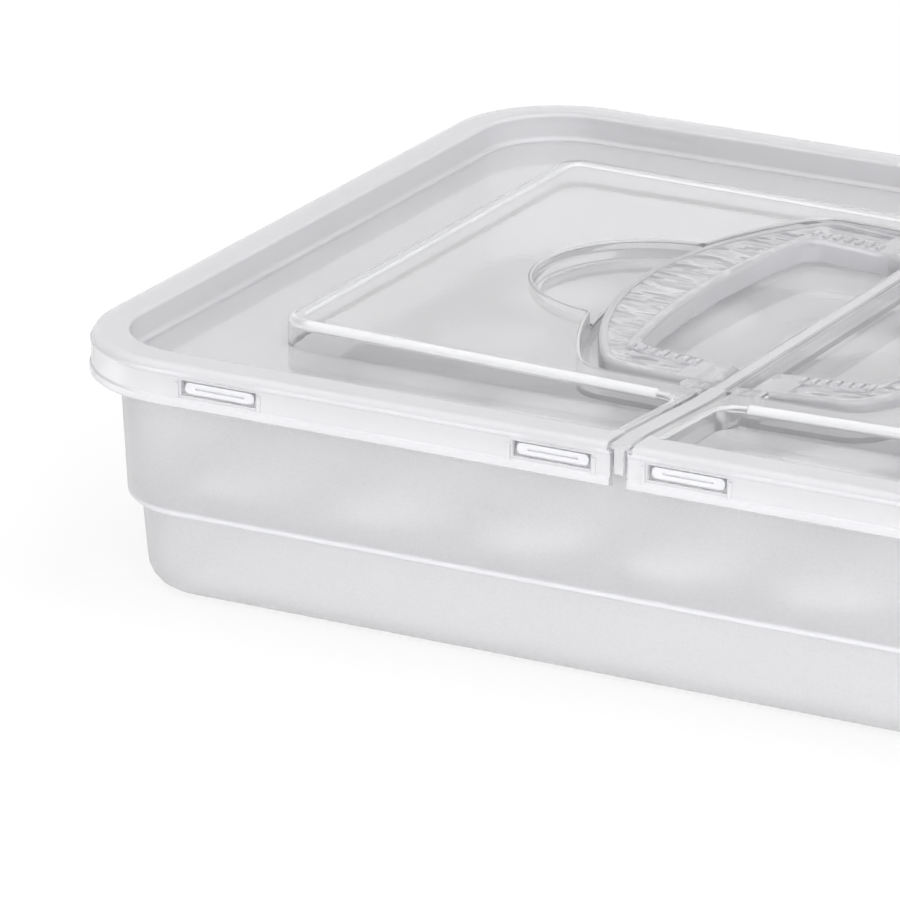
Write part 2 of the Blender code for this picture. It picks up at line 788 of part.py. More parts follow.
def egg_rack(collection, cutters):
    inset = TUB_INSET + TUB_DRAFT + TUB_WALL + RACK_WALL_GAP
    rack = prism("egg_rack", rounded_rectangle(inset), RACK_BASE, RACK_BASE + RACK_THICK, collection)
    places = []
    for column in range(EGG_COLUMNS):
        for row in range(EGG_ROWS):
            x = (column - (EGG_COLUMNS - 1) / 2) * EGG_PITCH_X
            y = (row - (EGG_ROWS - 1) / 2) * EGG_PITCH_Y
            places.append((x, y))
    for number, (x, y) in enumerate(places):
        low = RACK_BASE - COLLAR_DROP
        middle = (x, y, (low + RACK_BASE + RACK_THICK / 2) / 2)
        length = RACK_BASE + RACK_THICK / 2 - low
        radius = EGG_HOLE_RADIUS + COLLAR_WALL
        join(rack, cylinder(f"collar_{number}", middle, radius, length, "Z", EGG_HOLE_STEPS, cutters))
    for number, (x, y) in enumerate(places):
        middle = (x, y, RACK_BASE)
        hole = cylinder(
            f"egg_hole_{number}", middle, EGG_HOLE_RADIUS, 4 * OVERRUN, "Z", EGG_HOLE_STEPS, cutters
        )
        cut(rack, hole)
    return settle(rack)


def seat(obj, parent, origin):
    """Puts a piece's origin on its joint's axis and hangs it on its parent."""
    move_origin(obj, origin)
    if parent:
        obj.parent = parent
        obj.location = Vector(origin) - parent.matrix_world.translation
    bpy.context.view_layer.update()


def paint(obj, material):
    obj.data.materials.clear()
    obj.data.materials.append(material)
    smooth(obj)


def main():
    clear_scene()
    parts = new_collection("egg_storage_box")
    cutters = new_collection("cutters")

    body = tub(parts, cutters)
    rack = egg_rack(parts, cutters)
    strip = spine(parts, cutters)
    left = lid_half(parts, cutters)
    grip_left = handle(parts, cutters)
    right = mirrored(left, "lid_right", parts)
    grip_right = mirrored(grip_left, "handle_right", parts)

    fold_height = RIM_HEIGHT
    pivot_height = RIM_HEIGHT - PIVOT_DEPTH - sag(PIVOT_X, HANDLE_HALF_Y)
    seat(body, None, (0, 0, 0))
    seat(rack, body, (0, 0, RACK_BASE))
    seat(strip, rack, (0, 0, fold_height))
    seat(left, strip, (-FOLD_X, 0, fold_height))
    seat(right, strip, (FOLD_X, 0, fold_height))
    seat(grip_left, left, (-PIVOT_X, 0, pivot_height))
    seat(grip_right, right, (PIVOT_X, 0, pivot_height))

    clear = plastic("clear_lid", CLEAR_PLASTIC, 0.18, 0.85)
    frosted = plastic("frosted_handle", FROSTED_PLASTIC, 0.42, 0.45)
    paint(body, plastic("smoked_tub", TUB_PLASTIC, 0.30, 0.70))
    paint(rack, plastic("rack_white", RACK_PLASTIC, 0.35, 0.50))
    paint(strip, plastic("spine_frosted", FROSTED_PLASTIC, 0.35, 0.50))
    for piece in (left, right):
        paint(piece, clear)
    for piece in (grip_left, grip_right):
        paint(piece, frosted)


main()
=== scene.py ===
"""Looks for the egg storage box: fine meshes, translucent plastics, a pale floor and a studio camera."""

import logging
import math
from collections.abc import Callable, Iterator, Mapping, Sequence
from contextlib import contextmanager
from dataclasses import dataclass, field
from enum import Enum

import bmesh
import bpy
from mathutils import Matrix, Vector


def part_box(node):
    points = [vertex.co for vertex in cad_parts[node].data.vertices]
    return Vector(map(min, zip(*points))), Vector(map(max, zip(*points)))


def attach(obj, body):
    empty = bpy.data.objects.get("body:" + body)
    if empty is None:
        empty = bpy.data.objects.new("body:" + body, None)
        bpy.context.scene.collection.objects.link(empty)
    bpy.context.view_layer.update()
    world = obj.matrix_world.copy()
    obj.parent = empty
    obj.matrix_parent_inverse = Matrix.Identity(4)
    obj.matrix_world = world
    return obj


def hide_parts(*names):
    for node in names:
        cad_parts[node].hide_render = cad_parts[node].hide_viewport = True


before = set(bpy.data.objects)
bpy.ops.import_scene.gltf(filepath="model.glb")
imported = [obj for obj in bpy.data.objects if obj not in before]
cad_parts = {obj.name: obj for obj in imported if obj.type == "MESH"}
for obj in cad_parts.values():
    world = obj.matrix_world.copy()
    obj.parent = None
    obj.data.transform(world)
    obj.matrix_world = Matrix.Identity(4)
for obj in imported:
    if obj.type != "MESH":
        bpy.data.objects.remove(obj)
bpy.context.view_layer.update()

log = logging.getLogger("egg_box")

Point = tuple[float, float]
Ring = tuple[Sequence[Point], float]
Triple = tuple[float, float, float]
Object = bpy.types.Object
Plastic = bpy.types.Material
Socket = bpy.types.NodeSocket

# How far in and down each ring of a rounded edge lies, as shares of its radius.
ROUND_SHARES = ((0.0, 1.0), (0.04, 0.72), (0.15, 0.47), (0.33, 0.25), (0.60, 0.08), (1.0, 0.0))
# How far a cutter reaches past what it cuts, and the gap between neighbouring pieces.
OVERRUN = 0.006
GAP = 0.0003
# Where the middle ring of a small flare lies, as a share of the flare.
FLARE_BEND = 0.3
# How far out and up each ring of the rim's inner edge lies, as shares of its flare.
RIM_SHARES = ((0.15, 0.53), (0.40, 0.80), (1.0, 1.0))
# How far out and down each ring of the line under the rim lies, as shares of its size.
LINE_SHARES = ((0.0, 1.5), (1.0, 1.0), (1.0, 0.0), (0.0, -0.5))
# Where a sagging piece is cut across, as shares of its reach.
QUARTERS = (0.75, 0.5, 0.25)


class Join(Enum):
    """Ways in which one solid is combined with another."""

    ADD = "UNION"
    CUT = "DIFFERENCE"


class End(Enum):
    """The two ends of the box along Y."""

    FRONT = -1
    BACK = 1


class Outline:
    """Flat outlines, each a list of points that runs once round."""

    @staticmethod
    def arc(centre: Point, radius: float, start: float, end: float, steps: int) -> list[Point]:
        """Points along an arc, both ends included.

        Args:
            centre: The arc's centre.
            radius: Its radius.
            start: The first point's angle, in radians.
            end: The last point's angle, in radians.
            steps: How many chords the arc has.

        Returns:
            The points, from start to end.
        """
        angles = [start + (end - start) * step / steps for step in range(steps + 1)]
        return [(centre[0] + radius * math.cos(a), centre[1] + radius * math.sin(a)) for a in angles]

    @classmethod
    def circle(cls, centre: Point, radius: float, steps: int) -> list[Point]:
        """A circle, without its first point again at the end."""
        return cls.arc(centre, radius, 0, 2 * math.pi, steps)[:-1]

    @classmethod
    def rounded(cls, half_x: float, half_y: float, radius: float, steps: int = 20) -> list[Point]:
        """A rounded rectangle about the origin.

        Args:
            half_x: Half of its width.
            half_y: Half of its depth.
            radius: Its corners' radius.
            steps: Chords in each corner.

        Returns:
            The outline, counter-clockwise from the front right corner.
        """
        points: list[Point] = []
        quarter = math.pi / 2
        for turn, (side_x, side_y) in enumerate(((1, -1), (1, 1), (-1, 1), (-1, -1))):
            centre = (side_x * (half_x - radius), side_y * (half_y - radius))
            points += cls.arc(centre, radius, (turn - 1) * quarter, turn * quarter, steps)
            along = ((half_x, 0.0), (0.0, half_y), (-half_x, 0.0), (0.0, -half_y))[turn]
            points.append(along)
        return points

    @classmethod
    def bowed(
        cls, half_x: float, half_y: float, bow: float, corner: float, edge_x: float, steps: int = 10
    ) -> list[Point]:
        """A D whose far side bows out to the left.

        Args:
            half_x: How far left the bow reaches.
            half_y: Where the straight ends lie.
            bow: The bow's radius.
            corner: The radius between the bow and an end.
            edge_x: How far left of the middle the D's open side lies.
            steps: Chords in each corner.

        Returns:
            The outline, from the front end of the open side.
        """
        centre_x = bow - half_x
        reach_y = half_y - corner
        corner_x = centre_x - math.sqrt((bow - corner) ** 2 - reach_y**2)
        tip = math.atan2(reach_y, centre_x - corner_x)
        points = [(-edge_x, -half_y)]
        points += cls.arc((corner_x, -reach_y), corner, 3 * math.pi / 2, math.pi + tip, steps)
        points += cls.arc((centre_x, 0.0), bow, math.pi + tip, math.pi - tip, 4 * steps)[1:-1]
        points += cls.arc((corner_x, reach_y), corner, math.pi - tip, math.pi / 2, steps)
        points.append((-edge_x, half_y))
        return points


class Bench:
    """Modelling steps as they are done by hand, each on one object."""

    SOFT_SEGMENTS = 2
    SOFT_ANGLE = math.radians(30)
    SMOOTH_ANGLE = math.radians(38)
    FACE_WEIGHT = 80

    @staticmethod
    def deselect() -> None:
        """Leaves edit mode and selects nothing."""
        if bpy.context.mode != "OBJECT":
            bpy.ops.object.mode_set(mode="OBJECT")
        bpy.ops.object.select_all(action="DESELECT")

    @classmethod
    def focus(cls, piece: Object) -> None:
        """Makes a piece the only one selected, and the active one.

        Args:
            piece: The piece.
        """
        cls.deselect()
        piece.select_set(True)
        bpy.context.view_layer.objects.active = piece

    @classmethod
    @contextmanager
    def editing(cls, piece: Object) -> Iterator[None]:
        """Edit mode on one piece, as long as the block of code runs.

        Args:
            piece: The piece.

        Returns:
            A context that holds the piece in edit mode.
        """
        cls.focus(piece)
        bpy.ops.object.mode_set(mode="EDIT")
        yield
        bpy.ops.object.mode_set(mode="OBJECT")

    @classmethod
    def modify(cls, piece: Object, kind: str, **settings: object) -> None:
        """Adds a modifier with its settings, and applies it.

        Args:
            piece: The piece.
            kind: The modifier's type.
            settings: Its settings, by name.
        """
        cls.focus(piece)
        modifier = piece.modifiers.new(kind, kind)
        for name, value in settings.items():
            setattr(modifier, name, value)
        bpy.ops.object.modifier_apply(modifier=modifier.name)

    @classmethod
    def block(cls, name: str, low: Sequence[float], high: Sequence[float]) -> Object:
        """A box between two corners.

        Args:
            name: The object's name.
            low: Its lowest corner.
            high: Its highest corner.

        Returns:
            The box, with its place in its mesh.
        """
        cls.deselect()
        middle = (Vector(low) + Vector(high)) / 2
        bpy.ops.mesh.primitive_cube_add(size=1, location=middle)
        piece = bpy.context.object
        piece.name = name
        piece.dimensions = Vector(high) - Vector(low)
        bpy.ops.object.transform_apply(location=True, rotation=True, scale=True)
        return piece

    @classmethod
    def slab(cls, name: str, end: End, across: Point, along: Point, heights: Point) -> Object:
        """A box on the front or the back half.

        Args:
            name: The object's name.
            end: The half that it stands on.
            across: Its least and greatest X.
            along: Its two distances from the middle along Y.
            heights: Its least and greatest Z.

        Returns:
            The box.
        """
        near, far = sorted(end.value * distance for distance in along)
        return cls.block(name, (across[0], near, heights[0]), (across[1], far, heights[1]))

    @classmethod
    def rod(cls, name: str, centre: Sequence[float], radius: float, length: float, steps: int) -> Object:
        """A round bar along Y.

        Args:
            name: The object's name.
            centre: Its middle.
            radius: Its radius.
            length: Its length.
            steps: How many sides it has.

        Returns:
            The bar, with its place in its mesh.
        """
        cls.deselect()
        bpy.ops.mesh.primitive_cylinder_add(
            vertices=steps, radius=radius, depth=length, location=centre, rotation=(math.pi / 2, 0.0, 0.0)
        )
        piece = bpy.context.object
        piece.name = name
        bpy.ops.object.transform_apply(location=True, rotation=True, scale=True)
        return piece

    @classmethod
    def loop(cls, outline: Sequence[Point], height: float) -> Object:
        """A circle of edges pulled into an outline's shape, at a height.

        Args:
            outline: The outline.
            height: Its height.

        Returns:
            The loop of edges.
        """
        cls.deselect()
        bpy.ops.mesh.primitive_circle_add(vertices=len(outline), radius=1)
        piece = bpy.context.object
        for vertex, (x, y) in zip(piece.data.vertices, outline):
            vertex.co = (x, y, height)
        return piece

    @classmethod
    def skin(cls, name: str, rings: Sequence[Ring]) -> Object:
        """Bridges a stack of loops into a solid.

        Args:
            name: The object's name.
            rings: Outlines with as many points each, and their heights, in order.

        Returns:
            The solid.
        """
        piece = cls.merge_objects(name, [cls.loop(outline, height) for outline, height in rings])
        count = len(rings[0][0])
        with cls.editing(piece):
            bpy.ops.mesh.select_mode(type="VERT")
            for here in range(len(rings) - 1):
                cls.pick_range(piece, here * count, (here + 2) * count)
                bpy.ops.mesh.bridge_edge_loops()
            for start in (0, (len(rings) - 1) * count):
                cls.pick_range(piece, start, start + count)
                bpy.ops.mesh.edge_face_add()
            bpy.ops.mesh.select_all(action="SELECT")
            bpy.ops.mesh.normals_make_consistent(inside=False)
        return piece

    @classmethod
    def prism(cls, name: str, outline: Sequence[Point], low: float, high: float) -> Object:
        """A solid of one outline between two heights."""
        return cls.skin(name, [(outline, low), (outline, high)])

    @staticmethod
    def pick_range(piece: Object, start: int, end: int) -> None:
        """Selects, in edit mode, the points whose numbers lie from start up to end.

        Args:
            piece: The piece.
            start: The first point's number.
            end: The number after the last point's.
        """
        mesh = bmesh.from_edit_mesh(piece.data)
        mesh.verts.ensure_lookup_table()
        for part in (*mesh.verts, *mesh.edges, *mesh.faces):
            part.select_set(False)
        for vertex in mesh.verts[start:end]:
            vertex.select_set(True)
        for edge in mesh.edges:
            first, last = (vertex.index for vertex in edge.verts)
            edge.select_set(start <= min(first, last) and max(first, last) < end)
        bmesh.update_edit_mesh(piece.data)

    @classmethod
    def bevel_where(cls, piece: Object, test: Callable[[bmesh.types.BMEdge], bool], width: float,
                    segments: int) -> Object:
        """Rounds the edges that pass a test.

        Args:
            piece: The piece.
            test: Says of an edge whether it is rounded.
            width: How far the round reaches from the edge.
            segments: Faces across the round.

        Returns:
            The piece.
        """
        with cls.editing(piece):
            bpy.ops.mesh.select_mode(type="EDGE")
            bpy.ops.mesh.select_all(action="DESELECT")
            mesh = bmesh.from_edit_mesh(piece.data)
            for edge in mesh.edges:
                edge.select_set(test(edge))
            bmesh.update_edit_mesh(piece.data)
            bpy.ops.mesh.bevel(offset=width, segments=segments, affect="EDGES")
        return piece

    @classmethod
    def combine(cls, piece: Object, how: Join, *others: Object) -> Object:
        """Adds or cuts other solids, which are used up.

        Args:
            piece: The solid that stays.
            how: Whether the others are added or cut away.
            others: The other solids.

        Returns:
            The solid that stays.
        """
        for other in others:
            cls.modify(piece, "BOOLEAN", operation=how.value, solver="EXACT", object=other)
            bpy.data.objects.remove(other, do_unlink=True)
        return piece

    @classmethod
    def merge_objects(cls, name: str, pieces: Sequence[Object]) -> Object:
        """Joins separate meshes, which don't touch, into one object.

        Args:
            name: The object's name.
            pieces: The meshes, of which the first one stays.

        Returns:
            The object.
        """
        cls.deselect()
        for piece in pieces:
            piece.select_set(True)
        bpy.context.view_layer.objects.active = pieces[0]
        bpy.ops.object.join()
        pieces[0].name = name
        return pieces[0]

    @classmethod
    def score(cls, piece: Object, planes: Sequence[tuple[Sequence[float], Sequence[float]]]) -> None:
        """Bisects a piece along planes, each a point and a normal, and keeps both sides.

        Args:
            piece: The piece.
            planes: Each plane's point and normal.
        """
        with cls.editing(piece):
            for point, normal in planes:
                bpy.ops.mesh.select_all(action="SELECT")
                bpy.ops.mesh.bisect(plane_co=point, plane_no=normal)

    @classmethod
    def soften(cls, piece: Object, width: float) -> None:
        """Rounds all the sharp edges of a piece a little.

        Args:
            piece: The piece.
            width: How far the round reaches from an edge.
        """
        cls.modify(
            piece, "BEVEL", width=width, segments=cls.SOFT_SEGMENTS, limit_method="ANGLE",
            angle_limit=cls.SOFT_ANGLE, use_clamp_overlap=True, miter_outer="MITER_ARC",
        )

    @classmethod
    def smooth(cls, piece: Object) -> None:
        """Shades smooth all edges that bend little, with the large faces kept flat.

        Args:
            piece: The piece.
        """
        cls.focus(piece)
        bpy.ops.object.shade_smooth_by_angle(angle=cls.SMOOTH_ANGLE)
        cls.modify(piece, "WEIGHTED_NORMAL", keep_sharp=True, weight=cls.FACE_WEIGHT)

    @classmethod
    def mirrored(cls, piece: Object, name: str) -> Object:
        """A copy for the other side of the fold, with its own mesh.

        Args:
            piece: The left piece.
            name: The copy's name.

        Returns:
            The right piece.
        """
        cls.focus(piece)
        bpy.ops.object.duplicate(linked=False)
        twin = bpy.context.object
        twin.name = name
        for vertex in twin.data.vertices:
            vertex.co.x = -vertex.co.x
        with cls.editing(twin):
            bpy.ops.mesh.select_all(action="SELECT")
            bpy.ops.mesh.flip_normals()
        return twin

    @staticmethod
    def coat(piece: Object, *plastics: Plastic) -> None:
        """Gives a piece its plastics, the first of them all over.

        Args:
            piece: The piece.
            plastics: The plastics, in the order of the faces' material numbers.
        """
        piece.data.materials.clear()
        for plastic in plastics:
            piece.data.materials.append(plastic)

    @classmethod
    def settle(cls, piece: Object, node: str, slot: str) -> None:
        """Smooths a piece and sets it in the frame, in the place of its solid.

        Args:
            piece: The piece.
            node: The solid's node.
            slot: The node's material slot; not used.
        """
        cls.smooth(piece)
        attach(piece, node)
        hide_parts(node)


@dataclass(frozen=True)
class Wiring:
    """The nodes of one material, or of the world."""

    tree: bpy.types.NodeTree

    def link(self, source: Socket, target: Socket) -> None:
        """Links two sockets."""
        self.tree.links.new(source, target)

    def add(self, kind: str, values: Mapping[str | int, object], operation: str = "") -> bpy.types.Node:
        """Adds a node.

        Args:
            kind: Its type.
            values: What goes into its inputs: a number or colour is set, and a socket is linked.
            operation: What it does, for a node that has a choice.

        Returns:
            The node.
        """
        node = self.tree.nodes.new(kind)
        if operation:
            node.operation = operation
        for name, value in values.items():
            if isinstance(value, Socket):
                self.link(value, node.inputs[name])
            else:
                node.inputs[name].default_value = value
        return node

    def spread(self, value: Socket, reach: Point, result: Point) -> bpy.types.Node:
        """Maps a value from one range to another.

        Args:
            value: The value.
            reach: The range that it has.
            result: The range that it gets.

        Returns:
            The node, whose output is "Result".
        """
        ranges = {"From Min": reach[0], "From Max": reach[1], "To Min": result[0], "To Max": result[1]}
        return self.add("ShaderNodeMapRange", {"Value": value, **ranges})


@dataclass(frozen=True)
class Surface:
    """How fine a plastic's surface is: its grain over its broader flow marks."""

    grain_size: float
    grain_height: float
    wave_size: float
    wave_height: float
    speckle: float = 0.0
    stretch: Triple = (1.0, 1.0, 1.0)


@dataclass(frozen=True)
class HighlightBand:
    """A level stretch of a wall, drawn less clear and in its own tint: partly real scatter where a web
    stands behind it, partly a painted highlight along the ledge.
    """

    height: float
    half: float
    clearness: float
    tint: Triple


@dataclass(frozen=True)
class PlasticFinish:
    """A translucent moulded plastic: how it tints, blurs and scatters."""

    name: str
    tint: Triple
    clearness: float
    roughness: float
    roughness_spread: float
    surface: Surface
    band: HighlightBand | None = None
    refraction: float = 1.49
    tint_drop: float = 0.985
    gloss_marks: Point = (0.3, 0.7)
    tint_marks: Point = (0.35, 0.65)
    speck_marks: Point = (0.38, 0.55)
    band_fade: Point = (0.5, 1.5)
    grain_detail: float = 3.0
    wave_detail: float = 1.0

    def material(self) -> Plastic:
        """Builds the finish.

        Returns:
            A material with the plastic's flow marks, grain and uneven gloss.
        """
        made = bpy.data.materials.new(self.name)
        made.use_nodes = True
        wiring = Wiring(made.node_tree)
        shader = made.node_tree.nodes["Principled BSDF"]
        shader.inputs["Transmission Weight"].default_value = self.clearness
        shader.inputs["IOR"].default_value = self.refraction
        place = wiring.add("ShaderNodeTexCoord", {}).outputs["Object"]
        stretched = {"Vector": place, "Scale": self.surface.stretch}
        pattern = wiring.add("ShaderNodeMapping", stretched).outputs["Vector"]
        grain = self.noise(wiring, pattern, self.surface.grain_size, self.grain_detail)
        wave = self.noise(wiring, pattern, self.surface.wave_size, self.wave_detail)
        self.vary_gloss(wiring, shader, wave)
        tint = self.vary_tint(wiring, wave, grain)
        # The band paints a highlight along a level line of the wall.
        if self.band:
            tint = self.paint_band_highlight(wiring, shader, place, tint, self.band)
        wiring.link(tint, shader.inputs["Base Color"])
        self.bump(wiring, shader, grain, wave)
        return made

    @staticmethod
    def noise(wiring: Wiring, pattern: Socket, size: float, detail: float) -> Socket:
        """A noise whose features are about as large as size, in metres."""
        values = {"Vector": pattern, "Scale": 1 / size, "Detail": detail}
        return wiring.add("ShaderNodeTexNoise", values).outputs["Fac"]

    def vary_gloss(self, wiring: Wiring, shader: bpy.types.Node, wave: Socket) -> None:
        """Lets the gloss vary with the flow marks.

        Args:
            wiring: The material's nodes.
            shader: Its shader.
            wave: The flow marks.
        """
        limits = (self.roughness - self.roughness_spread, self.roughness + self.roughness_spread)
        ramp = wiring.spread(wave, self.gloss_marks, limits)
        wiring.link(ramp.outputs["Result"], shader.inputs["Roughness"])

    def vary_tint(self, wiring: Wiring, wave: Socket, grain: Socket) -> Socket:
        """Lets the tint vary very slightly with the flow marks and the grain.

        Args:
            wiring: The material's nodes.
            wave: The flow marks.
            grain: The grain.

        Returns:
            The tint.
        """
        ramp = wiring.add("ShaderNodeValToRGB", {"Fac": wave})
        shades = (self.tint_drop, 1.0)
        for element, mark, shade in zip(ramp.color_ramp.elements, self.tint_marks, shades):
            element.position = mark
            element.color = (*(share * shade for share in self.tint), 1.0)
        specks = wiring.spread(grain, self.speck_marks, (1 - self.surface.speckle, 1.0))
        values = {0: ramp.outputs["Color"], "Scale": specks.outputs["Result"]}
        return wiring.add("ShaderNodeVectorMath", values, "SCALE").outputs["Vector"]

    def paint_band_highlight(self, wiring: Wiring, shader: bpy.types.Node, place: Socket, tint: Socket,
                band: HighlightBand) -> Socket:
        """Paints a highlight along the band, where the plastic is less clear and takes the band's tint.

        Args:
            wiring: The material's nodes.
            shader: Its shader.
            place: Where a point of the piece lies.
            tint: The tint of the rest.
            band: The band.

        Returns:
            The tint, with the band's own in the band.
        """
        height = wiring.add("ShaderNodeSeparateXYZ", {"Vector": place}).outputs["Z"]
        away = wiring.add("ShaderNodeMath", {0: height, 1: band.height}, "SUBTRACT")
        reach = wiring.add("ShaderNodeMath", {0: away.outputs["Value"]}, "ABSOLUTE")
        edges = (band.half * self.band_fade[0], band.half * self.band_fade[1])
        fade = wiring.spread(reach.outputs["Value"], edges, (1.0, 0.0))
        fade.interpolation_type = "SMOOTHSTEP"
        share = fade.outputs["Result"]
        clear = wiring.spread(share, (0.0, 1.0), (self.clearness, band.clearness))
        wiring.link(clear.outputs["Result"], shader.inputs["Transmission Weight"])
        colour = wiring.add("ShaderNodeMix", {})
        colour.data_type = "RGBA"
        colour.inputs["B"].default_value = (*band.tint, 1.0)
        wiring.link(share, colour.inputs["Factor"])
        wiring.link(tint, colour.inputs["A"])
        return colour.outputs["Result"]

    def bump(self, wiring: Wiring, shader: bpy.types.Node, grain: Socket, wave: Socket) -> None:
        """Raises the fine grain over the broad waves.

        Args:
            wiring: The material's nodes.
            shader: Its shader.
            grain: The grain.
            wave: The flow marks.
        """
        broad = wiring.add("ShaderNodeBump", {"Distance": self.surface.wave_height, "Height": wave})
        values = {"Distance": self.surface.grain_height, "Height": grain, "Normal": broad.outputs["Normal"]}
        fine = wiring.add("ShaderNodeBump", values)
        wiring.link(fine.outputs["Normal"], shader.inputs["Normal"])


CLEAR_LID = PlasticFinish(
    "clear_lid", (0.990, 0.987, 1.000), 0.84, 0.06, 0.03, Surface(0.0016, 0.00001, 0.050, 0.0003)
)
MILKY_RIM = PlasticFinish(
    "milky_rim", (0.966, 0.962, 0.984), 0.60, 0.22, 0.03, Surface(0.0013, 0.00002, 0.050, 0.0002)
)
# A whiter, less clear copy of the sheet's plastic, a painted highlight on the sheet's rounded edges.
EDGE_HIGHLIGHT = PlasticFinish(
    "edge_highlight", (0.985, 0.985, 0.998), 0.60, 0.22, 0.02, Surface(0.0013, 0.00002, 0.050, 0.0002)
)
FROSTED_TUB = PlasticFinish(
    "frosted_tub", (0.988, 0.984, 1.000), 0.72, 0.32, 0.03,
    Surface(0.0008, 0.00008, 0.060, 0.0002, speckle=0.05),
    # The band paints a highlight along the tub's ledge.
    HighlightBand(0.0294, 0.0014, 0.50, (0.950, 0.956, 0.990)),
)
# Whiter, less clear plastic: real scatter in the thick flange and lugs, and a painted highlight along the
# tub's ledge and on the lugs.
THICK_AND_HIGHLIGHT_TUB = PlasticFinish(
    "thick_and_highlight_tub", (0.966, 0.968, 0.992), 0.42, 0.32, 0.03, Surface(0.0013, 0.00002, 0.060, 0.0002)
)
MILKY_RACK = PlasticFinish(
    "rack", (0.980, 0.978, 0.992), 0.22, 0.34, 0.05, Surface(0.0015, 0.00002, 0.040, 0.0002)
)
MILKY_SPINE = PlasticFinish(
    "spine", (0.972, 0.970, 0.986), 0.66, 0.20, 0.05, Surface(0.0015, 0.00002, 0.030, 0.0002)
)
FROSTED_HANDLE = PlasticFinish(
    "frosted_handle", (0.905, 0.903, 0.925), 0.70, 0.16, 0.05, Surface(0.0016, 0.00002, 0.012, 0.0002)
)
RIPPLED_FIELD = PlasticFinish(
    "rippled_field", (0.900, 0.898, 0.922), 0.66, 0.16, 0.05,
    Surface(0.0030, 0.00016, 0.0085, 0.0042, stretch=(0.75, 1.5, 1.0)),
)


@dataclass
class LidSizes:
    """Sizes that the lid's pieces share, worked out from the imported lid's box."""

    low: Vector = field(default_factory=lambda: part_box("lid_left")[0])
    high: Vector = field(default_factory=lambda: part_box("lid_left")[1])
    rim_width: float = 0.012
    corner: float = 0.038
    sheet: float = 0.0014
    channel_depth: float = 0.0088
    side_channel: float = 0.037
    front_channel: float = 0.041
    panel_bow: float = 0.0012
    panel_sag: float = 0.0021
    spine_half: float = 0.0025
    spine_waist: float = 0.0015
    fold_groove: float = 0.0015
    skirt_wall: float = 0.0016
    pivot_x: float = 0.0075
    pivot_depth: float = 0.0049
    pivot_length: float = 0.0040
    pin_steps: int = 32
    boss_half: float = 0.0056
    boss_wall: float = 0.0016
    handle_half_y: float = 0.0755
    arm_width: float = 0.019
    catch_places: tuple[float, float] = (0.0215, 0.1305)

    @property
    def half_x(self) -> float:
        """Half of the lid's width."""
        return -self.low.x

    @property
    def half_y(self) -> float:
        """Half of the lid's depth."""
        return self.high.y

    @property
    def top(self) -> float:
        """The rim's height."""
        return self.high.z

    @property
    def inner_x(self) -> float:
        """Half of the channel's outer width."""
        return self.half_x - self.rim_width

    @property
    def inner_y(self) -> float:
        """Half of the channel's outer depth."""
        return self.half_y - self.rim_width

    @property
    def panel_x(self) -> float:
        """Half of the panel's width."""
        return self.inner_x - self.side_channel

    @property
    def panel_y(self) -> float:
        """Half of the panel's depth."""
        return self.inner_y - self.front_channel

    @property
    def panel_edge_y(self) -> float:
        """How far the panel's bowed long edge reaches at the fold."""
        return self.panel_y + self.panel_bow

    @property
    def boss_outer_y(self) -> float:
        """Where the pivot bosses end."""
        return self.handle_half_y + self.pivot_length + GAP + self.boss_wall

    def inset(self, distance: float) -> list[Point]:
        """The lid's outline, drawn in by a distance."""
        return Outline.rounded(self.half_x - distance, self.half_y - distance, self.corner - distance)

    def sag(self, x: float, y: float) -> float:
        """How far the lid dips at a place.

        Args:
            x: The place across the lid.
            y: The place along the fold.

        Returns:
            The dip, largest beside the fold and none at the rim.
        """
        along = max(0.0, 1 - abs(x) / self.panel_x)
        across = min(1.0, max(0.0, (self.inner_y - abs(y)) / (self.inner_y - self.panel_edge_y)))
        return self.panel_sag * along * across


def rounded_top(outline_at: Callable[[float], list[Point]], low: float, high: float, radius: float,
                start: float = 0.0) -> list[Ring]:
    """Rings of a solid whose upper edge is rounded.

    Args:
        outline_at: Gives the outline drawn in by a distance.
        low: The solid's base.
        high: Its top.
        radius: The round's radius.
        start: How far the sides are drawn in.

    Returns:
        The rings, from the base up.
    """
    rings: list[Ring] = [(outline_at(start), low)]
    for in_share, down_share in ROUND_SHARES:
        rings.append((outline_at(start + radius * in_share), high - radius * down_share))
    return rings


def rounded_bottom(outline_at: Callable[[float], list[Point]], low: float, high: float, radius: float,
                   start: float = 0.0) -> list[Ring]:
    """Rings of a solid whose lower edge is rounded, from the base up.

    Args:
        outline_at: Gives the outline drawn in by a distance.
        low: The solid's base.
        high: Its top.
        radius: The round's radius.
        start: How far the sides are drawn in.

    Returns:
        The rings, from the base up.
    """
    rings: list[Ring] = []
    for in_share, down_share in reversed(ROUND_SHARES):
        rings.append((outline_at(start + radius * in_share), low + radius * down_share))
    rings.append((outline_at(start), high))
    return rings


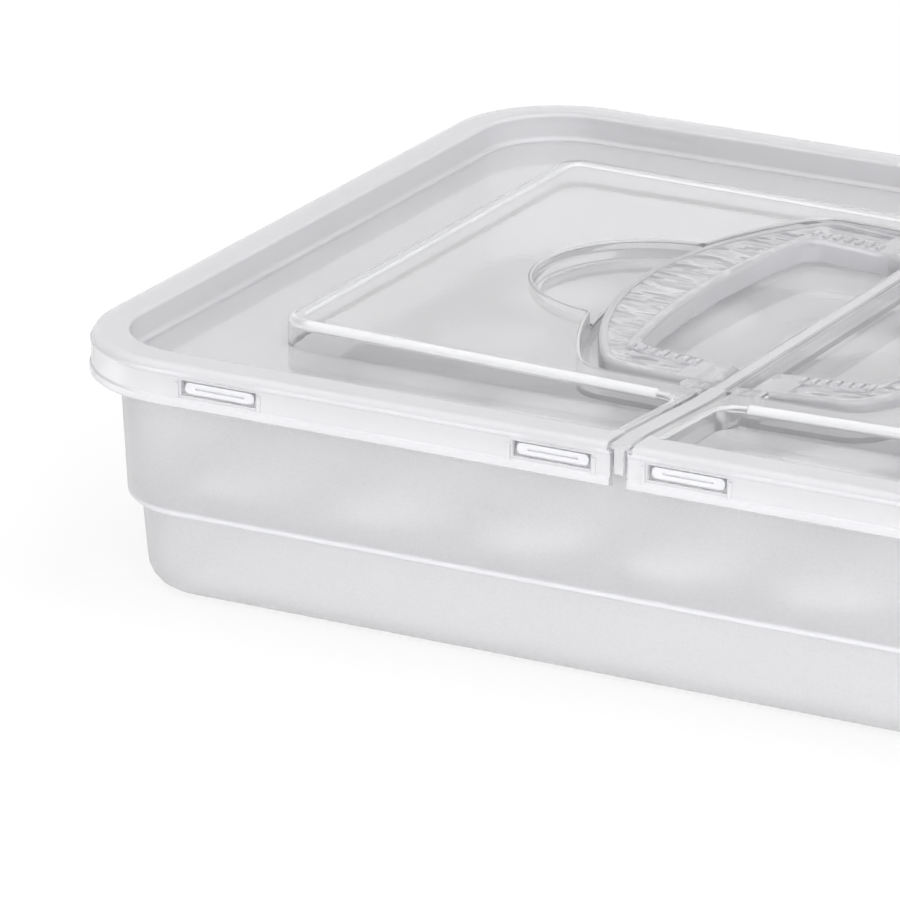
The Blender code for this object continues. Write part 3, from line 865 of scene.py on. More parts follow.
@dataclass
class LidHalf:
    """The left half of the lid: rim, skirt, channel, raised panel, handle well and catches."""

    sizes: LidSizes
    skirt_bead: float = 0.0006
    bead_height: float = 0.0030
    bead_round: float = 0.0004
    rim_round: float = 0.0022
    rim_shoulder: float = 0.0004
    rim_inner_round: float = 0.0012
    line_proud: float = 0.0003
    line_height: float = 0.0005
    line_drop: float = 0.0028
    channel_round: float = 0.0016
    panel_corner: float = 0.009
    panel_round: float = 0.0022
    border_width: float = 0.0052
    border_height: float = 0.0007
    ridge_half: float = 0.0075
    ridge_flare: float = 0.007
    ridge_round: float = 0.0009
    groove_depth: float = 0.0018
    well_half_x: float = 0.070
    well_half_y: float = 0.0805
    well_arc: float = 0.139
    well_corner: float = 0.012
    well_lip: float = 0.0008
    recess_x: float = 0.063
    recess_radius: float = 0.0365
    recess_depth: float = 0.0062
    recess_round: float = 0.0030
    recess_steps: int = 96
    pivot_hole: float = 0.0025
    window_width: float = 0.025
    window_height: float = 0.0046
    window_top: float = 0.0044
    frame_width: float = 0.0006
    frame_depth: float = 0.0003
    tick_width: float = 0.0012
    tick_proud: float = 0.0004
    tick_lap: float = 0.15
    corner_round: float = 0.0035
    corner_slack: float = math.radians(4)
    corner_steps: int = 12
    flare_steps: int = 8
    # Slopes of the faces near the top that get the painted edge highlight.
    highlight_slopes: Point = (0.1, 0.995)

    @property
    def floor(self) -> float:
        """The height of the channel's floor and the well's floor."""
        return self.sizes.top - self.sizes.channel_depth

    @property
    def under(self) -> float:
        """The height of the sheet's underside there."""
        return self.floor - self.sizes.sheet

    @property
    def border_top(self) -> float:
        """The height of the panel inside its border."""
        return self.sizes.top - self.border_height

    def panel_outline(self, inset: float) -> list[Point]:
        """The panel's outline, drawn in by a distance, whose long edges stand out at the fold.

        Args:
            inset: The distance.

        Returns:
            The outline.
        """
        sizes = self.sizes
        points = Outline.rounded(
            sizes.panel_x - inset, sizes.panel_y - inset, max(self.panel_corner - inset, sizes.sheet)
        )
        bow = sizes.panel_bow / sizes.panel_y
        return [(x, y + bow * y * (1 - abs(x) / sizes.panel_x)) for x, y in points]

    def well_outline(self, outset: float, edge_x: float) -> list[Point]:
        """The handle well's outline, drawn out by a distance.

        Args:
            outset: The distance.
            edge_x: How far left of the fold its open side lies.

        Returns:
            The outline.
        """
        return Outline.bowed(
            self.well_half_x + outset,
            self.well_half_y + outset,
            self.well_arc + outset,
            self.well_corner + outset,
            edge_x,
        )

    def shell(self) -> Object:
        """Rim, skirt and channel floor over the whole lid.

        Returns:
            The solid.
        """
        sizes = self.sizes
        base = sizes.low.z
        bead_top = base + self.bead_height
        rings: list[Ring] = [
            (sizes.inset(self.bead_round), base),
            (sizes.inset(0), base + self.bead_round),
            (sizes.inset(0), bead_top - self.skirt_bead),
            (sizes.inset(self.skirt_bead), bead_top),
        ]
        line = sizes.top - self.line_drop
        for out_share, down_share in LINE_SHARES:
            height = line - self.line_height * down_share
            rings.append((sizes.inset(self.skirt_bead - self.line_proud * out_share), height))
        start = self.skirt_bead + self.rim_shoulder
        rings += rounded_top(sizes.inset, sizes.top - self.rim_round, sizes.top, self.rim_round, start)[1:]
        body = Bench.skin("clear_lid_left", rings)
        cutter_rings = rounded_bottom(
            sizes.inset, self.floor, sizes.top - self.rim_inner_round, self.channel_round, sizes.rim_width
        )
        flare = self.rim_inner_round
        for out_share, up_share in RIM_SHARES:
            height = sizes.top - flare * (1 - up_share)
            cutter_rings.append((sizes.inset(sizes.rim_width - flare * out_share), height))
        cutter_rings.append((sizes.inset(sizes.rim_width - flare), sizes.top + OVERRUN))
        return Bench.combine(body, Join.CUT, Bench.skin("channel", cutter_rings))

    def panel(self) -> Object:
        """The raised panel, with a border that stands a little proud.

        Returns:
            The solid.
        """
        low = self.floor - self.sizes.sheet / 2
        body = Bench.skin("panel", rounded_top(self.panel_outline, low, self.sizes.top, self.panel_round))
        inner = self.panel_outline(self.border_width + self.border_height)
        outer = self.panel_outline(self.border_width)
        dip = [(inner, self.border_top), (outer, self.sizes.top), (outer, self.sizes.top + OVERRUN)]
        return Bench.combine(body, Join.CUT, Bench.skin("panel_dip", dip))

    def ridge(self, end: End) -> Object:
        """The ridge beside the fold, from the panel to the rim.

        Args:
            end: The end of the box that it runs to.

        Returns:
            The solid.
        """
        sizes = self.sizes
        low = self.floor - sizes.sheet / 2
        flare_y = sizes.panel_edge_y + self.ridge_flare
        inner_y = sizes.panel_y - self.panel_round
        outer_y = sizes.inner_y + self.rim_inner_round

        def outline_at(inset: float) -> list[Point]:
            """The ridge's outline, drawn in by a distance along its sides.

            Args:
                inset: The distance.

            Returns:
                The outline.
            """
            centre = (-self.ridge_half - self.ridge_flare, flare_y)
            half = [(centre[0], inner_y)]
            half += Outline.arc(centre, self.ridge_flare + inset, -math.pi / 2, 0, self.flare_steps)
            half.append((-self.ridge_half + inset, outer_y))
            whole = half + [(-x, y) for x, y in reversed(half)]
            return [(x, end.value * y) for x, y in whole]

        return Bench.skin("ridge", rounded_top(outline_at, low, sizes.top, self.ridge_round))

    def skirt_hollow(self) -> Object:
        """The space under the lid that the tub's flange stands in.

        Returns:
            The cutter.
        """
        sizes = self.sizes
        inset = self.skirt_bead + sizes.skirt_wall
        rings = rounded_top(sizes.inset, sizes.low.z - OVERRUN, sizes.top - sizes.sheet, sizes.sheet, inset)
        hollow = Bench.skin("skirt_hollow", rings)
        outline = sizes.inset(sizes.rim_width - sizes.sheet)
        core = Bench.prism("core", outline, self.under, sizes.top + OVERRUN)
        return Bench.combine(hollow, Join.CUT, core)

    def panel_hollow(self) -> Object:
        """The space under the panel, clear of the well, the recess, the bosses and the fold's sheet.

        Returns:
            The cutter.
        """
        sizes = self.sizes
        low = self.under - OVERRUN
        high = sizes.top - sizes.sheet
        ceiling = high - self.border_height
        rings = rounded_top(self.panel_outline, low, ceiling, self.panel_round / 2, sizes.sheet)
        hollow = Bench.skin("panel_hollow", rings)
        ridge_x = self.ridge_half - sizes.sheet
        along = (sizes.panel_y / 2, sizes.inner_y - sizes.sheet)
        for end in End:
            run = Bench.slab("ridge_hollow", end, (-ridge_x, ridge_x), along, (low, high))
            Bench.combine(hollow, Join.ADD, run)
        outline = self.well_outline(sizes.sheet, -sizes.spine_half)
        well = Bench.prism("well_wall", outline, self.under, sizes.top + OVERRUN)
        Bench.combine(hollow, Join.CUT, well, self.recess(sizes.sheet))
        for end in End:
            Bench.combine(hollow, Join.CUT, self.boss(end), self.fold_sheet(end))
        return hollow

    def boss(self, end: End) -> Object:
        """The block in which a handle's pin turns.

        Args:
            end: The end of the box that it lies towards.

        Returns:
            The solid.
        """
        sizes = self.sizes
        along = (sizes.handle_half_y - sizes.arm_width, sizes.boss_outer_y)
        across = (-sizes.pivot_x - sizes.boss_half, 0)
        return Bench.slab("boss", end, across, along, (self.under, sizes.top + OVERRUN))

    def fold_sheet(self, end: End) -> Object:
        """The upright sheet beside the fold, from the well to the rim.

        Args:
            end: The end of the box that it runs to.

        Returns:
            The solid.
        """
        sizes = self.sizes
        along = (self.well_half_y - sizes.sheet, sizes.half_y - sizes.rim_width / 2)
        edge_x = sizes.spine_half + sizes.fold_groove + sizes.sheet
        heights = (self.under - 2 * OVERRUN, sizes.top + 2 * OVERRUN)
        return Bench.slab("fold_sheet", end, (-edge_x, 0), along, heights)

    def recess(self, outset: float) -> Object:
        """The finger recess as a solid dish, drawn out by a distance.

        Args:
            outset: The distance.

        Returns:
            The cutter.
        """
        base = self.sizes.top - self.recess_depth - outset
        radius = self.recess_radius + outset

        def outline_at(inset: float) -> list[Point]:
            """A circle drawn in by a distance."""
            return Outline.circle((-self.recess_x, 0.0), radius - inset, self.recess_steps)

        rings = rounded_bottom(outline_at, base, self.border_top - self.well_lip, self.recess_round)
        return Bench.skin("recess", rings + self.flare(outline_at))

    def flare(self, outline_at: Callable[[float], list[Point]]) -> list[Ring]:
        """The widening top of an opening in the panel, from its lip up.

        Args:
            outline_at: Gives the opening's outline drawn in by a distance.

        Returns:
            The rings that end the opening's cutter.
        """
        lip = self.well_lip
        return [
            (outline_at(-lip * FLARE_BEND), self.border_top - lip * FLARE_BEND),
            (outline_at(-lip), self.border_top),
            (outline_at(-lip), self.sizes.top + OVERRUN),
        ]

    def well(self) -> Object:
        """The space of the well, with a small flare at its top, clear of the bosses.

        Returns:
            The cutter.
        """
        sizes = self.sizes
        edge_x = sizes.spine_waist + GAP + sizes.sheet

        def outline_at(inset: float) -> list[Point]:
            """The well's outline, drawn in by a distance."""
            return self.well_outline(-inset, edge_x)

        rings = [(outline_at(0), self.floor), (outline_at(0), self.border_top - self.well_lip)]
        space = Bench.skin("well", rings + self.flare(outline_at))
        across = (-sizes.pivot_x - sizes.boss_half, 0)
        along = (sizes.handle_half_y + GAP, self.well_half_y + OVERRUN)
        for end in End:
            heights = (self.floor - OVERRUN, sizes.top + 2 * OVERRUN)
            Bench.combine(space, Join.CUT, Bench.slab("boss_face", end, across, along, heights))
        return space

    def junction(self, end: End) -> Object:
        """What is cut away to round the panel's corner between the well and the finger recess.

        Args:
            end: Towards which end of the box the corner lies.

        Returns:
            The cutter.
        """
        bow_x = self.well_arc - self.well_half_x
        corner = self.meeting(0.0)
        centre = self.meeting(self.corner_round)
        start = math.atan2(-centre[1], -self.recess_x - centre[0])
        stop = math.atan2(-centre[1], bow_x - centre[0])
        slack = self.corner_slack
        points = Outline.arc(centre, self.corner_round, start - slack, stop + slack, self.corner_steps)
        outwards = self.corner_round / 2
        points.append((corner[0] + outwards, corner[1] - outwards))
        outline = [(x, end.value * y) for x, y in points]
        top = self.sizes.top
        return Bench.prism("junction", outline, top - self.recess_depth, top + OVERRUN)

    def meeting(self, reach: float) -> Point:
        """The point as far outside the recess's circle as outside the well's bow.

        Args:
            reach: How far outside both it lies.

        Returns:
            The point, on the back half.
        """
        bow_x = self.well_arc - self.well_half_x
        outer = self.recess_radius + reach
        bow = self.well_arc + reach
        x = (outer**2 - bow**2 - self.recess_x**2 + bow_x**2) / (2 * (self.recess_x + bow_x))
        return x, math.sqrt(outer**2 - (x + self.recess_x) ** 2)

    def pivot_hole_rod(self, end: End) -> Object:
        """The hole for a handle's pin.

        Args:
            end: The end of the box that it lies towards.

        Returns:
            The cutter.
        """
        sizes = self.sizes
        length = sizes.pivot_length + 2 * GAP
        middle_y = end.value * (sizes.handle_half_y + length / 2)
        centre = (-sizes.pivot_x, middle_y, sizes.top - sizes.pivot_depth)
        return Bench.rod("pivot_hole", centre, self.pivot_hole, length, sizes.pin_steps)

    def past_fold(self) -> list[Object]:
        """All that lies past the half's own edge at the fold, with the groove and the notch.

        Returns:
            The cutters.
        """
        sizes = self.sizes
        low = sizes.low.z - OVERRUN
        top = sizes.top + OVERRUN
        far = sizes.half_y + OVERRUN
        well_edge = sizes.spine_waist + GAP
        pieces = [Bench.block("past_well", (-well_edge, -far, low), (sizes.half_x + OVERRUN, far, top))]
        fold_x = sizes.spine_half + GAP
        groove_x = sizes.spine_half + sizes.fold_groove
        groove_floor = sizes.top - self.groove_depth - sizes.sheet / 2
        along = (sizes.boss_outer_y, far)
        for end in End:
            pieces.append(Bench.slab("past_ridge", end, (-fold_x, 0), along, (low, top)))
            pieces.append(Bench.slab("groove", end, (-groove_x, 0), along, (groove_floor, top)))
        return pieces

    def windows(self) -> list[Object]:
        """The catch windows in the front and back skirts.

        Returns:
            The cutters of the windows and of the shallow frames round them.
        """
        sizes = self.sizes
        top = sizes.top - self.window_top
        skirt_y = sizes.half_y - self.skirt_bead
        kinds = (("window", skirt_y - sizes.skirt_wall - GAP, 0.0),
                 ("window_frame", skirt_y - self.frame_depth, self.frame_width))
        pieces = []
        for end in End:
            for middle in sizes.catch_places:
                for name, near, outset in kinds:
                    reach = self.window_width / 2 + outset
                    heights = (top - self.window_height - outset, top + outset)
                    across, along = (-middle - reach, -middle + reach), (near, sizes.half_y + OVERRUN)
                    pieces.append(Bench.slab(name, end, across, along, heights))
        return pieces

    def ticks(self) -> list[Object]:
        """Short upright ribs on the skirt, under both ends of each window.

        Returns:
            The solids.
        """
        sizes = self.sizes
        top = sizes.top - self.window_top - self.window_height * self.tick_lap
        heights = (sizes.low.z + self.bead_height / 2, top)
        skirt_y = sizes.half_y - self.skirt_bead
        along = (skirt_y - sizes.skirt_wall / 2, skirt_y + self.tick_proud)
        pieces = []
        for end in End:
            for middle in sizes.catch_places:
                for side in (-1, 1):
                    x = -middle + side * (self.window_width / 2 + self.tick_width)
                    across = (x - self.tick_width / 2, x + self.tick_width / 2)
                    pieces.append(Bench.slab("tick", end, across, along, heights))
        return pieces

    def dip(self, piece: Object) -> Object:
        """Lowers the panel and all it carries towards the fold.

        Args:
            piece: The half, still level.

        Returns:
            The half.
        """
        sizes = self.sizes
        edge_y = sizes.panel_edge_y
        planes = [((-sizes.panel_x * share, 0, 0), (1, 0, 0)) for share in (1.0, *QUARTERS)]
        for end in End:
            for y in (edge_y, sizes.inner_y, (edge_y + sizes.inner_y) / 2):
                planes.append(((0, end.value * y, 0), (0, 1, 0)))
        Bench.score(piece, planes)
        well_end_y = self.well_half_y + sizes.sheet + GAP
        for vertex in piece.data.vertices:
            x, y, z = vertex.co
            if z > self.floor + self.channel_round / 2 or abs(y) < well_end_y:
                vertex.co.z = z - sizes.sag(x, y)
        return piece

    def build(self) -> Object:
        """Builds the left half.

        Returns:
            The finished mesh, not yet dressed.
        """
        half = self.shell()
        Bench.combine(half, Join.ADD, self.panel(), self.ridge(End.FRONT), self.ridge(End.BACK))
        Bench.combine(half, Join.CUT, self.skirt_hollow(), self.panel_hollow())
        Bench.combine(half, Join.CUT, self.well(), self.recess(0.0))
        Bench.combine(half, Join.CUT, *(self.junction(end) for end in End))
        Bench.combine(half, Join.CUT, *(self.pivot_hole_rod(end) for end in End))
        Bench.combine(half, Join.ADD, *self.ticks())
        Bench.combine(half, Join.CUT, *self.windows(), *self.past_fold())
        return self.dip(half)

    def from_edge(self, x: float, y: float) -> float:
        """How far a place lies inside the lid's outline.

        Args:
            x: The place across the lid.
            y: The place along the fold.

        Returns:
            The distance, on a level.
        """
        sizes = self.sizes
        corner_x = abs(x) - sizes.half_x + sizes.corner
        corner_y = abs(y) - sizes.half_y + sizes.corner
        if corner_x > 0 and corner_y > 0:
            return sizes.corner - math.hypot(corner_x, corner_y)
        return sizes.corner - max(corner_x, corner_y)

    def dress(self, piece: Object, side: str, sheet: Plastic, rim: Plastic, edge: Plastic) -> None:
        """Gives a half its plastics and sets it in the frame.

        Args:
            piece: The half.
            side: "left" or "right".
            sheet: The plastic of the thin, clear sheet.
            rim: The plastic of the thick, milky rim.
            edge: The whiter plastic of the sheet's rounded edges, a painted highlight where they catch the
                light.
        """
        sizes = self.sizes
        Bench.coat(piece, sheet, rim, edge)
        rim_reach = sizes.rim_width + self.channel_round + GAP
        edge_low = sizes.top - sizes.panel_sag - self.panel_round - GAP
        steep, level = self.highlight_slopes
        # Rim faces get the milky plastic; sloping faces high on the sheet get the painted edge highlight.
        for face in piece.data.polygons:
            corners = [piece.data.vertices[corner].co for corner in face.vertices]
            if all(self.from_edge(co.x, co.y) < rim_reach for co in corners):
                face.material_index = 1
            elif steep < face.normal.z < level and min(co.z for co in corners) > edge_low:
                face.material_index = 2
        Bench.settle(piece, f"lid_{side}", "clear_lid")


@dataclass
class Spine:
    """The strip between the folds."""

    sizes: LidSizes
    thick: float = 0.0020
    lip: float = 0.0090
    edge_round: float = 0.0004

    def build(self) -> Object:
        """Builds the strip.

        Returns:
            The finished mesh.
        """
        sizes = self.sizes
        top = sizes.top
        low = top - self.thick
        wide_y = sizes.boss_outer_y + GAP
        end_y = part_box("lid_spine")[1].y
        waist_y = wide_y + sizes.spine_waist
        waist = sizes.spine_waist
        body = Bench.block("spine_strip", (-waist, -waist_y, low), (waist, waist_y, top))
        runs = (
            (sizes.spine_half, wide_y, sizes.inner_y, low),
            (sizes.spine_half, sizes.inner_y - sizes.spine_half, end_y, top - sizes.sheet),
            (waist, end_y - sizes.skirt_wall, end_y, top - self.lip),
        )
        for end in End:
            for half_x, near_y, far_y, base in runs:
                run = Bench.slab("spine_run", end, (-half_x, half_x), (near_y, far_y), (base, top))
                Bench.combine(body, Join.ADD, run)
        Bench.soften(body, self.edge_round)
        cuts_y = (sizes.panel_edge_y, sizes.inner_y)
        Bench.score(body, [((0, end.value * y, 0), (0, 1, 0)) for end in End for y in cuts_y])
        for vertex in body.data.vertices:
            vertex.co.z -= sizes.sag(sizes.spine_half + GAP, vertex.co.y)
        return body

    def dress(self, piece: Object, finish: Plastic) -> None:
        """Gives the strip its plastic and sets it in the frame."""
        Bench.coat(piece, finish)
        Bench.settle(piece, "lid_spine", "spine")


@dataclass
class SwingHandle:
    """The left handle: a bowed grip on two arms, with an eye and a pin at each arm's end."""

    sizes: LidSizes
    half_x: float = 0.066
    arc: float = 0.125
    corner: float = 0.010
    thick: float = 0.0070
    wall: float = 0.0020
    rise: float = 0.0024
    grip_width: float = 0.0215
    inner_arc: float = 0.300
    inner_corner: float = 0.006
    edge_round: float = 0.0016
    pin_radius: float = 0.0022
    eye_steps: int = 48
    rib_count: int = 7
    rib_pitch: float = 0.0036
    rib_width: float = 0.0016
    rib_length: float = 0.0042
    rib_height: float = 0.0008
    rib_edge: float = 0.0026
    rib_start: float = 0.009
    rib_segments: int = 2
    field_border: float = 0.0028
    field_depth: float = 0.0005
    field_end: float = 0.018
    field_level: float = 0.9

    @property
    def arm_edge(self) -> float:
        """How far from the middle the arms' inner edges lie."""
        return self.sizes.handle_half_y - self.sizes.arm_width

    def rise_at(self, x: float, y: float) -> float:
        """How far the handle stands over its level shape at a place."""
        climb = (abs(x) - self.sizes.pivot_x) / (self.half_x - self.sizes.pivot_x)
        return self.rise * climb - self.sizes.sag(x, y)

    def outer(self, inset: float, edge_x: float) -> list[Point]:
        """The handle's outer outline, drawn in by a distance."""
        half_y = self.sizes.handle_half_y - inset
        return Outline.bowed(self.half_x - inset, half_y, self.arc - inset, self.corner - inset, edge_x)

    def inner(self, outset: float, edge_x: float) -> list[Point]:
        """The outline of the handle's opening, drawn out by a distance.

        Args:
            outset: The distance.
            edge_x: How far left of the fold its open side lies.

        Returns:
            The outline.
        """
        return Outline.bowed(
            self.half_x - self.grip_width + outset,
            self.arm_edge + outset,
            self.inner_arc + outset,
            self.inner_corner + outset,
            edge_x,
        )

    def build(self) -> Object:
        """Builds the left handle.

        Returns:
            The finished mesh.
        """
        pivot_x = self.sizes.pivot_x
        height = self.sizes.top - self.sizes.pivot_depth
        top = height + self.thick / 2
        low = height - self.thick / 2
        soft = self.edge_round
        rings = [(self.outer(soft / 2, pivot_x), low), (self.outer(0, pivot_x), low + soft / 2)]
        rings += rounded_top(lambda inset: self.outer(inset, pivot_x), low, top, soft)[1:]
        body = Bench.skin("grip_left", rings)
        opening = rounded_top(lambda outset: self.inner(outset, -pivot_x), low - OVERRUN, top, soft)
        opening.append((self.inner(soft, -pivot_x), top + OVERRUN))
        Bench.combine(body, Join.CUT, Bench.skin("opening", opening), self.hollow(low, top))
        Bench.combine(body, Join.CUT, self.field(top))
        for end in End:
            Bench.combine(body, Join.ADD, *self.pivot(end, height))
        Bench.combine(body, Join.ADD, *self.ribs(top))
        Bench.score(body, [((-self.half_x * share, 0, 0), (1, 0, 0)) for share in reversed(QUARTERS)])
        for vertex in body.data.vertices:
            vertex.co.z += self.rise_at(vertex.co.x, vertex.co.y)
        return body

    def field(self, top: float) -> Object:
        """The shallow sunk field along the bar's top, inside its smooth border.

        Args:
            top: The bar's top.

        Returns:
            The cutter.
        """
        low = top - self.field_depth
        border = self.field_border
        body = Bench.prism("field", self.outer(border, self.field_end), low, top + OVERRUN)
        outline = Outline.bowed(
            self.half_x - self.grip_width + border,
            self.arm_edge + border + self.rib_length,
            self.inner_arc,
            self.inner_corner + border,
            0.0,
        )
        core = Bench.prism("field_core", outline, low - OVERRUN, top + 2 * OVERRUN)
        return Bench.combine(body, Join.CUT, core)

    def hollow(self, low: float, top: float) -> Object:
        """The channel along the bar's underside.

        Args:
            low: The bar's underside.
            top: Its top.

        Returns:
            The cutter.
        """
        edge_x = self.sizes.pivot_x + self.sizes.boss_half
        body = Bench.prism("hollow", self.outer(self.wall, edge_x), low - OVERRUN, top - self.wall)
        core = Bench.prism("hollow_core", self.inner(self.wall, -edge_x), low - 2 * OVERRUN, top + OVERRUN)
        return Bench.combine(body, Join.CUT, core)

    def pivot(self, end: End, height: float) -> list[Object]:
        """The eye at an arm's end, and its pin.

        Args:
            end: Which arm.
            height: The pivot's height.

        Returns:
            Both solids.
        """
        x, half_y = -self.sizes.pivot_x, self.sizes.handle_half_y
        inner_y = self.arm_edge + self.edge_round
        outer_y = half_y - GAP / 2
        eye_at = (x, end.value * (inner_y + outer_y) / 2, height)
        eye = Bench.rod("eye", eye_at, self.thick / 2 - GAP / 6, outer_y - inner_y, self.eye_steps)
        length = self.sizes.pivot_length + self.edge_round
        pin_at = (x, end.value * (half_y - self.edge_round + length / 2), height)
        return [eye, Bench.rod("pin", pin_at, self.pin_radius, length, self.sizes.pin_steps)]

    def ribs(self, top: float) -> list[Object]:
        """The rows of ribs along the arms' inner edges.

        Args:
            top: The arms' top.

        Returns:
            The solids.
        """
        pieces = []
        edge = self.arm_edge + self.rib_edge
        along, heights = (edge, edge + self.rib_length), (top - self.wall / 2, top + self.rib_height)
        for end in End:
            for place in range(self.rib_count):
                x = -self.sizes.pivot_x - self.rib_start - place * self.rib_pitch
                rib = Bench.slab("rib", end, (x - self.rib_width, x), along, heights)
                pieces.append(Bench.bevel_where(rib, self.is_upper, self.rib_height / 2, self.rib_segments))
        return pieces

    @staticmethod
    def is_upper(edge: bmesh.types.BMEdge) -> bool:
        """True of an edge round the top of a rib."""
        highest = max(vertex.co.z for face in edge.link_faces for vertex in face.verts)
        return all(vertex.co.z > highest - GAP / 10 for vertex in edge.verts)

    def dress(self, piece: Object, side: str, border: Plastic, rippled: Plastic) -> None:
        """Gives a handle its plastics and sets it in the frame.

        Args:
            piece: The handle.
            side: "left" or "right".
            border: The smooth plastic.
            rippled: The plastic of the sunk field.
        """
        Bench.coat(piece, border, rippled)
        floor = self.sizes.top - self.sizes.pivot_depth + self.thick / 2 - self.field_depth
        for face in piece.data.polygons:
            x, y, z = face.center
            above = z - self.rise_at(x, y) - floor
            sunk = abs(above) < self.field_depth / 4 and face.normal.z > self.field_level
            face.material_index = int(sunk)
        Bench.settle(piece, f"handle_{side}", "frosted_handle")


@dataclass
class Tub:
    """The stepped tub with its flange and lugs."""

    sizes: LidSizes
    wall: float = 0.0016
    lid_gap: float = 0.0007
    draft: float = 0.0024
    flange_inset: float = 0.0030
    flange_thick: float = 0.0020
    ledge_height: float = 0.0282
    ledge_width: float = 0.0042
    ledge_round: float = 0.0026
    lower_draft: float = 0.0015
    foot_round: float = 0.010
    lug_width: float = 0.023
    lug_height: float = 0.0034
    lug_drop: float = 0.0067
    lug_nose: float = 0.0014
    nose_groove: float = 0.0006
    lug_round: float = 0.45
    lug_segments: int = 5
    # How far up the ledge's round the painted ledge highlight reaches, as a share of the round.
    ledge_highlight_reach: float = 0.8

    @property
    def inset(self) -> float:
        """How far the tub's outer face lies inside the lid's, at its top."""
        return self.sizes.rim_width - self.sizes.sheet - self.lid_gap - self.wall

    @property
    def top(self) -> float:
        """The flange's height."""
        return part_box("tub")[1].z

    def rings(self, shift: float) -> list[Ring]:
        """Rings of the wall from the table up, drawn in by shift for the inner face.

        Args:
            shift: The wall's thickness for the inner face, and 0 for the outer one.

        Returns:
            The rings.
        """
        at = self.sizes.inset
        foot = self.foot_round - shift
        lower = self.inset + self.draft + self.ledge_width + self.lower_draft + shift
        rings: list[Ring] = []
        for in_share, down_share in reversed(ROUND_SHARES):
            rings.append((at(lower + foot * in_share), shift + foot * down_share))
        upper = self.inset + self.draft + shift
        ledge = self.ledge_height + shift
        step = upper + self.ledge_width
        small = self.ledge_round / 3
        rings.append((at(step), ledge - small))
        rings.append((at(step - small * FLARE_BEND), ledge - small * FLARE_BEND))
        rings.append((at(step - small), ledge))
        bend = self.ledge_round - shift
        for in_share, down_share in reversed(ROUND_SHARES[:-1]):
            rings.append((at(upper + bend * in_share), ledge + bend * down_share))
        return rings

    def build(self) -> Object:
        """Builds the tub.

        Returns:
            The finished mesh.
        """
        at = self.sizes.inset
        body = Bench.skin("tub_body", self.rings(0) + [(at(self.inset), self.top)])
        low, soft = self.top - self.flange_thick, self.flange_thick / 4
        flange = Bench.skin("flange", rounded_top(at, low, self.top, soft, self.flange_inset))
        Bench.combine(body, Join.ADD, flange, *self.lugs())
        inner = at(self.inset + self.wall)
        space = self.rings(self.wall) + [(inner, self.top), (inner, self.top + OVERRUN)]
        Bench.combine(body, Join.CUT, Bench.skin("space", space))
        return body

    def lugs(self) -> list[Object]:
        """The lugs, whose grooved noses stand in the lid's windows.

        Returns:
            The solids.
        """
        half_y = self.sizes.half_y
        middle = self.sizes.top - self.lug_drop
        face = half_y - self.flange_inset + self.lug_nose
        near = half_y - self.inset - self.wall / 2
        half_x = self.lug_width / 2
        groove = self.nose_groove
        kinds = (
            ("lug", half_x, self.lug_height / 2, (near, face)),
            ("nose_groove", half_x - self.lug_height, groove / 2, (face - groove, face + OVERRUN)),
        )
        pieces = []
        for end in End:
            for place in self.sizes.catch_places:
                for x in (-place, place):
                    lug, slot = (
                        Bench.slab(name, end, (x - wide, x + wide), along, (middle - high, middle + high))
                        for name, wide, high, along in kinds
                    )
                    bend = self.lug_height * self.lug_round
                    lug = Bench.bevel_where(lug, self.runs_along_y, bend, self.lug_segments)
                    pieces.append(Bench.combine(lug, Join.CUT, slot))
        return pieces

    @staticmethod
    def runs_along_y(edge: bmesh.types.BMEdge) -> bool:
        """True of an edge that runs from the wall outwards."""
        first, last = (vertex.co for vertex in edge.verts)
        return abs(first.x - last.x) < GAP and abs(first.z - last.z) < GAP

    def dress(self, piece: Object, wall: Plastic, thick: Plastic) -> None:
        """Gives the tub its plastics and sets it in the frame.

        Args:
            piece: The tub.
            wall: The plastic of the thin walls.
            thick: The whiter plastic of the ledge, the flange and the lugs: real scatter where the plastic
                is thick, and a painted highlight along the ledge and on the lugs.
        """
        Bench.coat(piece, wall, thick)
        ledge_low = self.ledge_height - self.wall / 2
        ledge_high = self.ledge_height + self.ledge_round * self.ledge_highlight_reach
        # Ledge faces get the painted highlight; flange and lug faces get the thicker, scattering plastic.
        for face in piece.data.polygons:
            heights = [piece.data.vertices[corner].co.z for corner in face.vertices]
            on_ledge = ledge_low < min(heights) and max(heights) < ledge_high
            on_flange = min(heights) > self.sizes.low.z + self.lug_height
            face.material_index = int(on_ledge or on_flange)
        Bench.settle(piece, "tub", "frosted_tub")


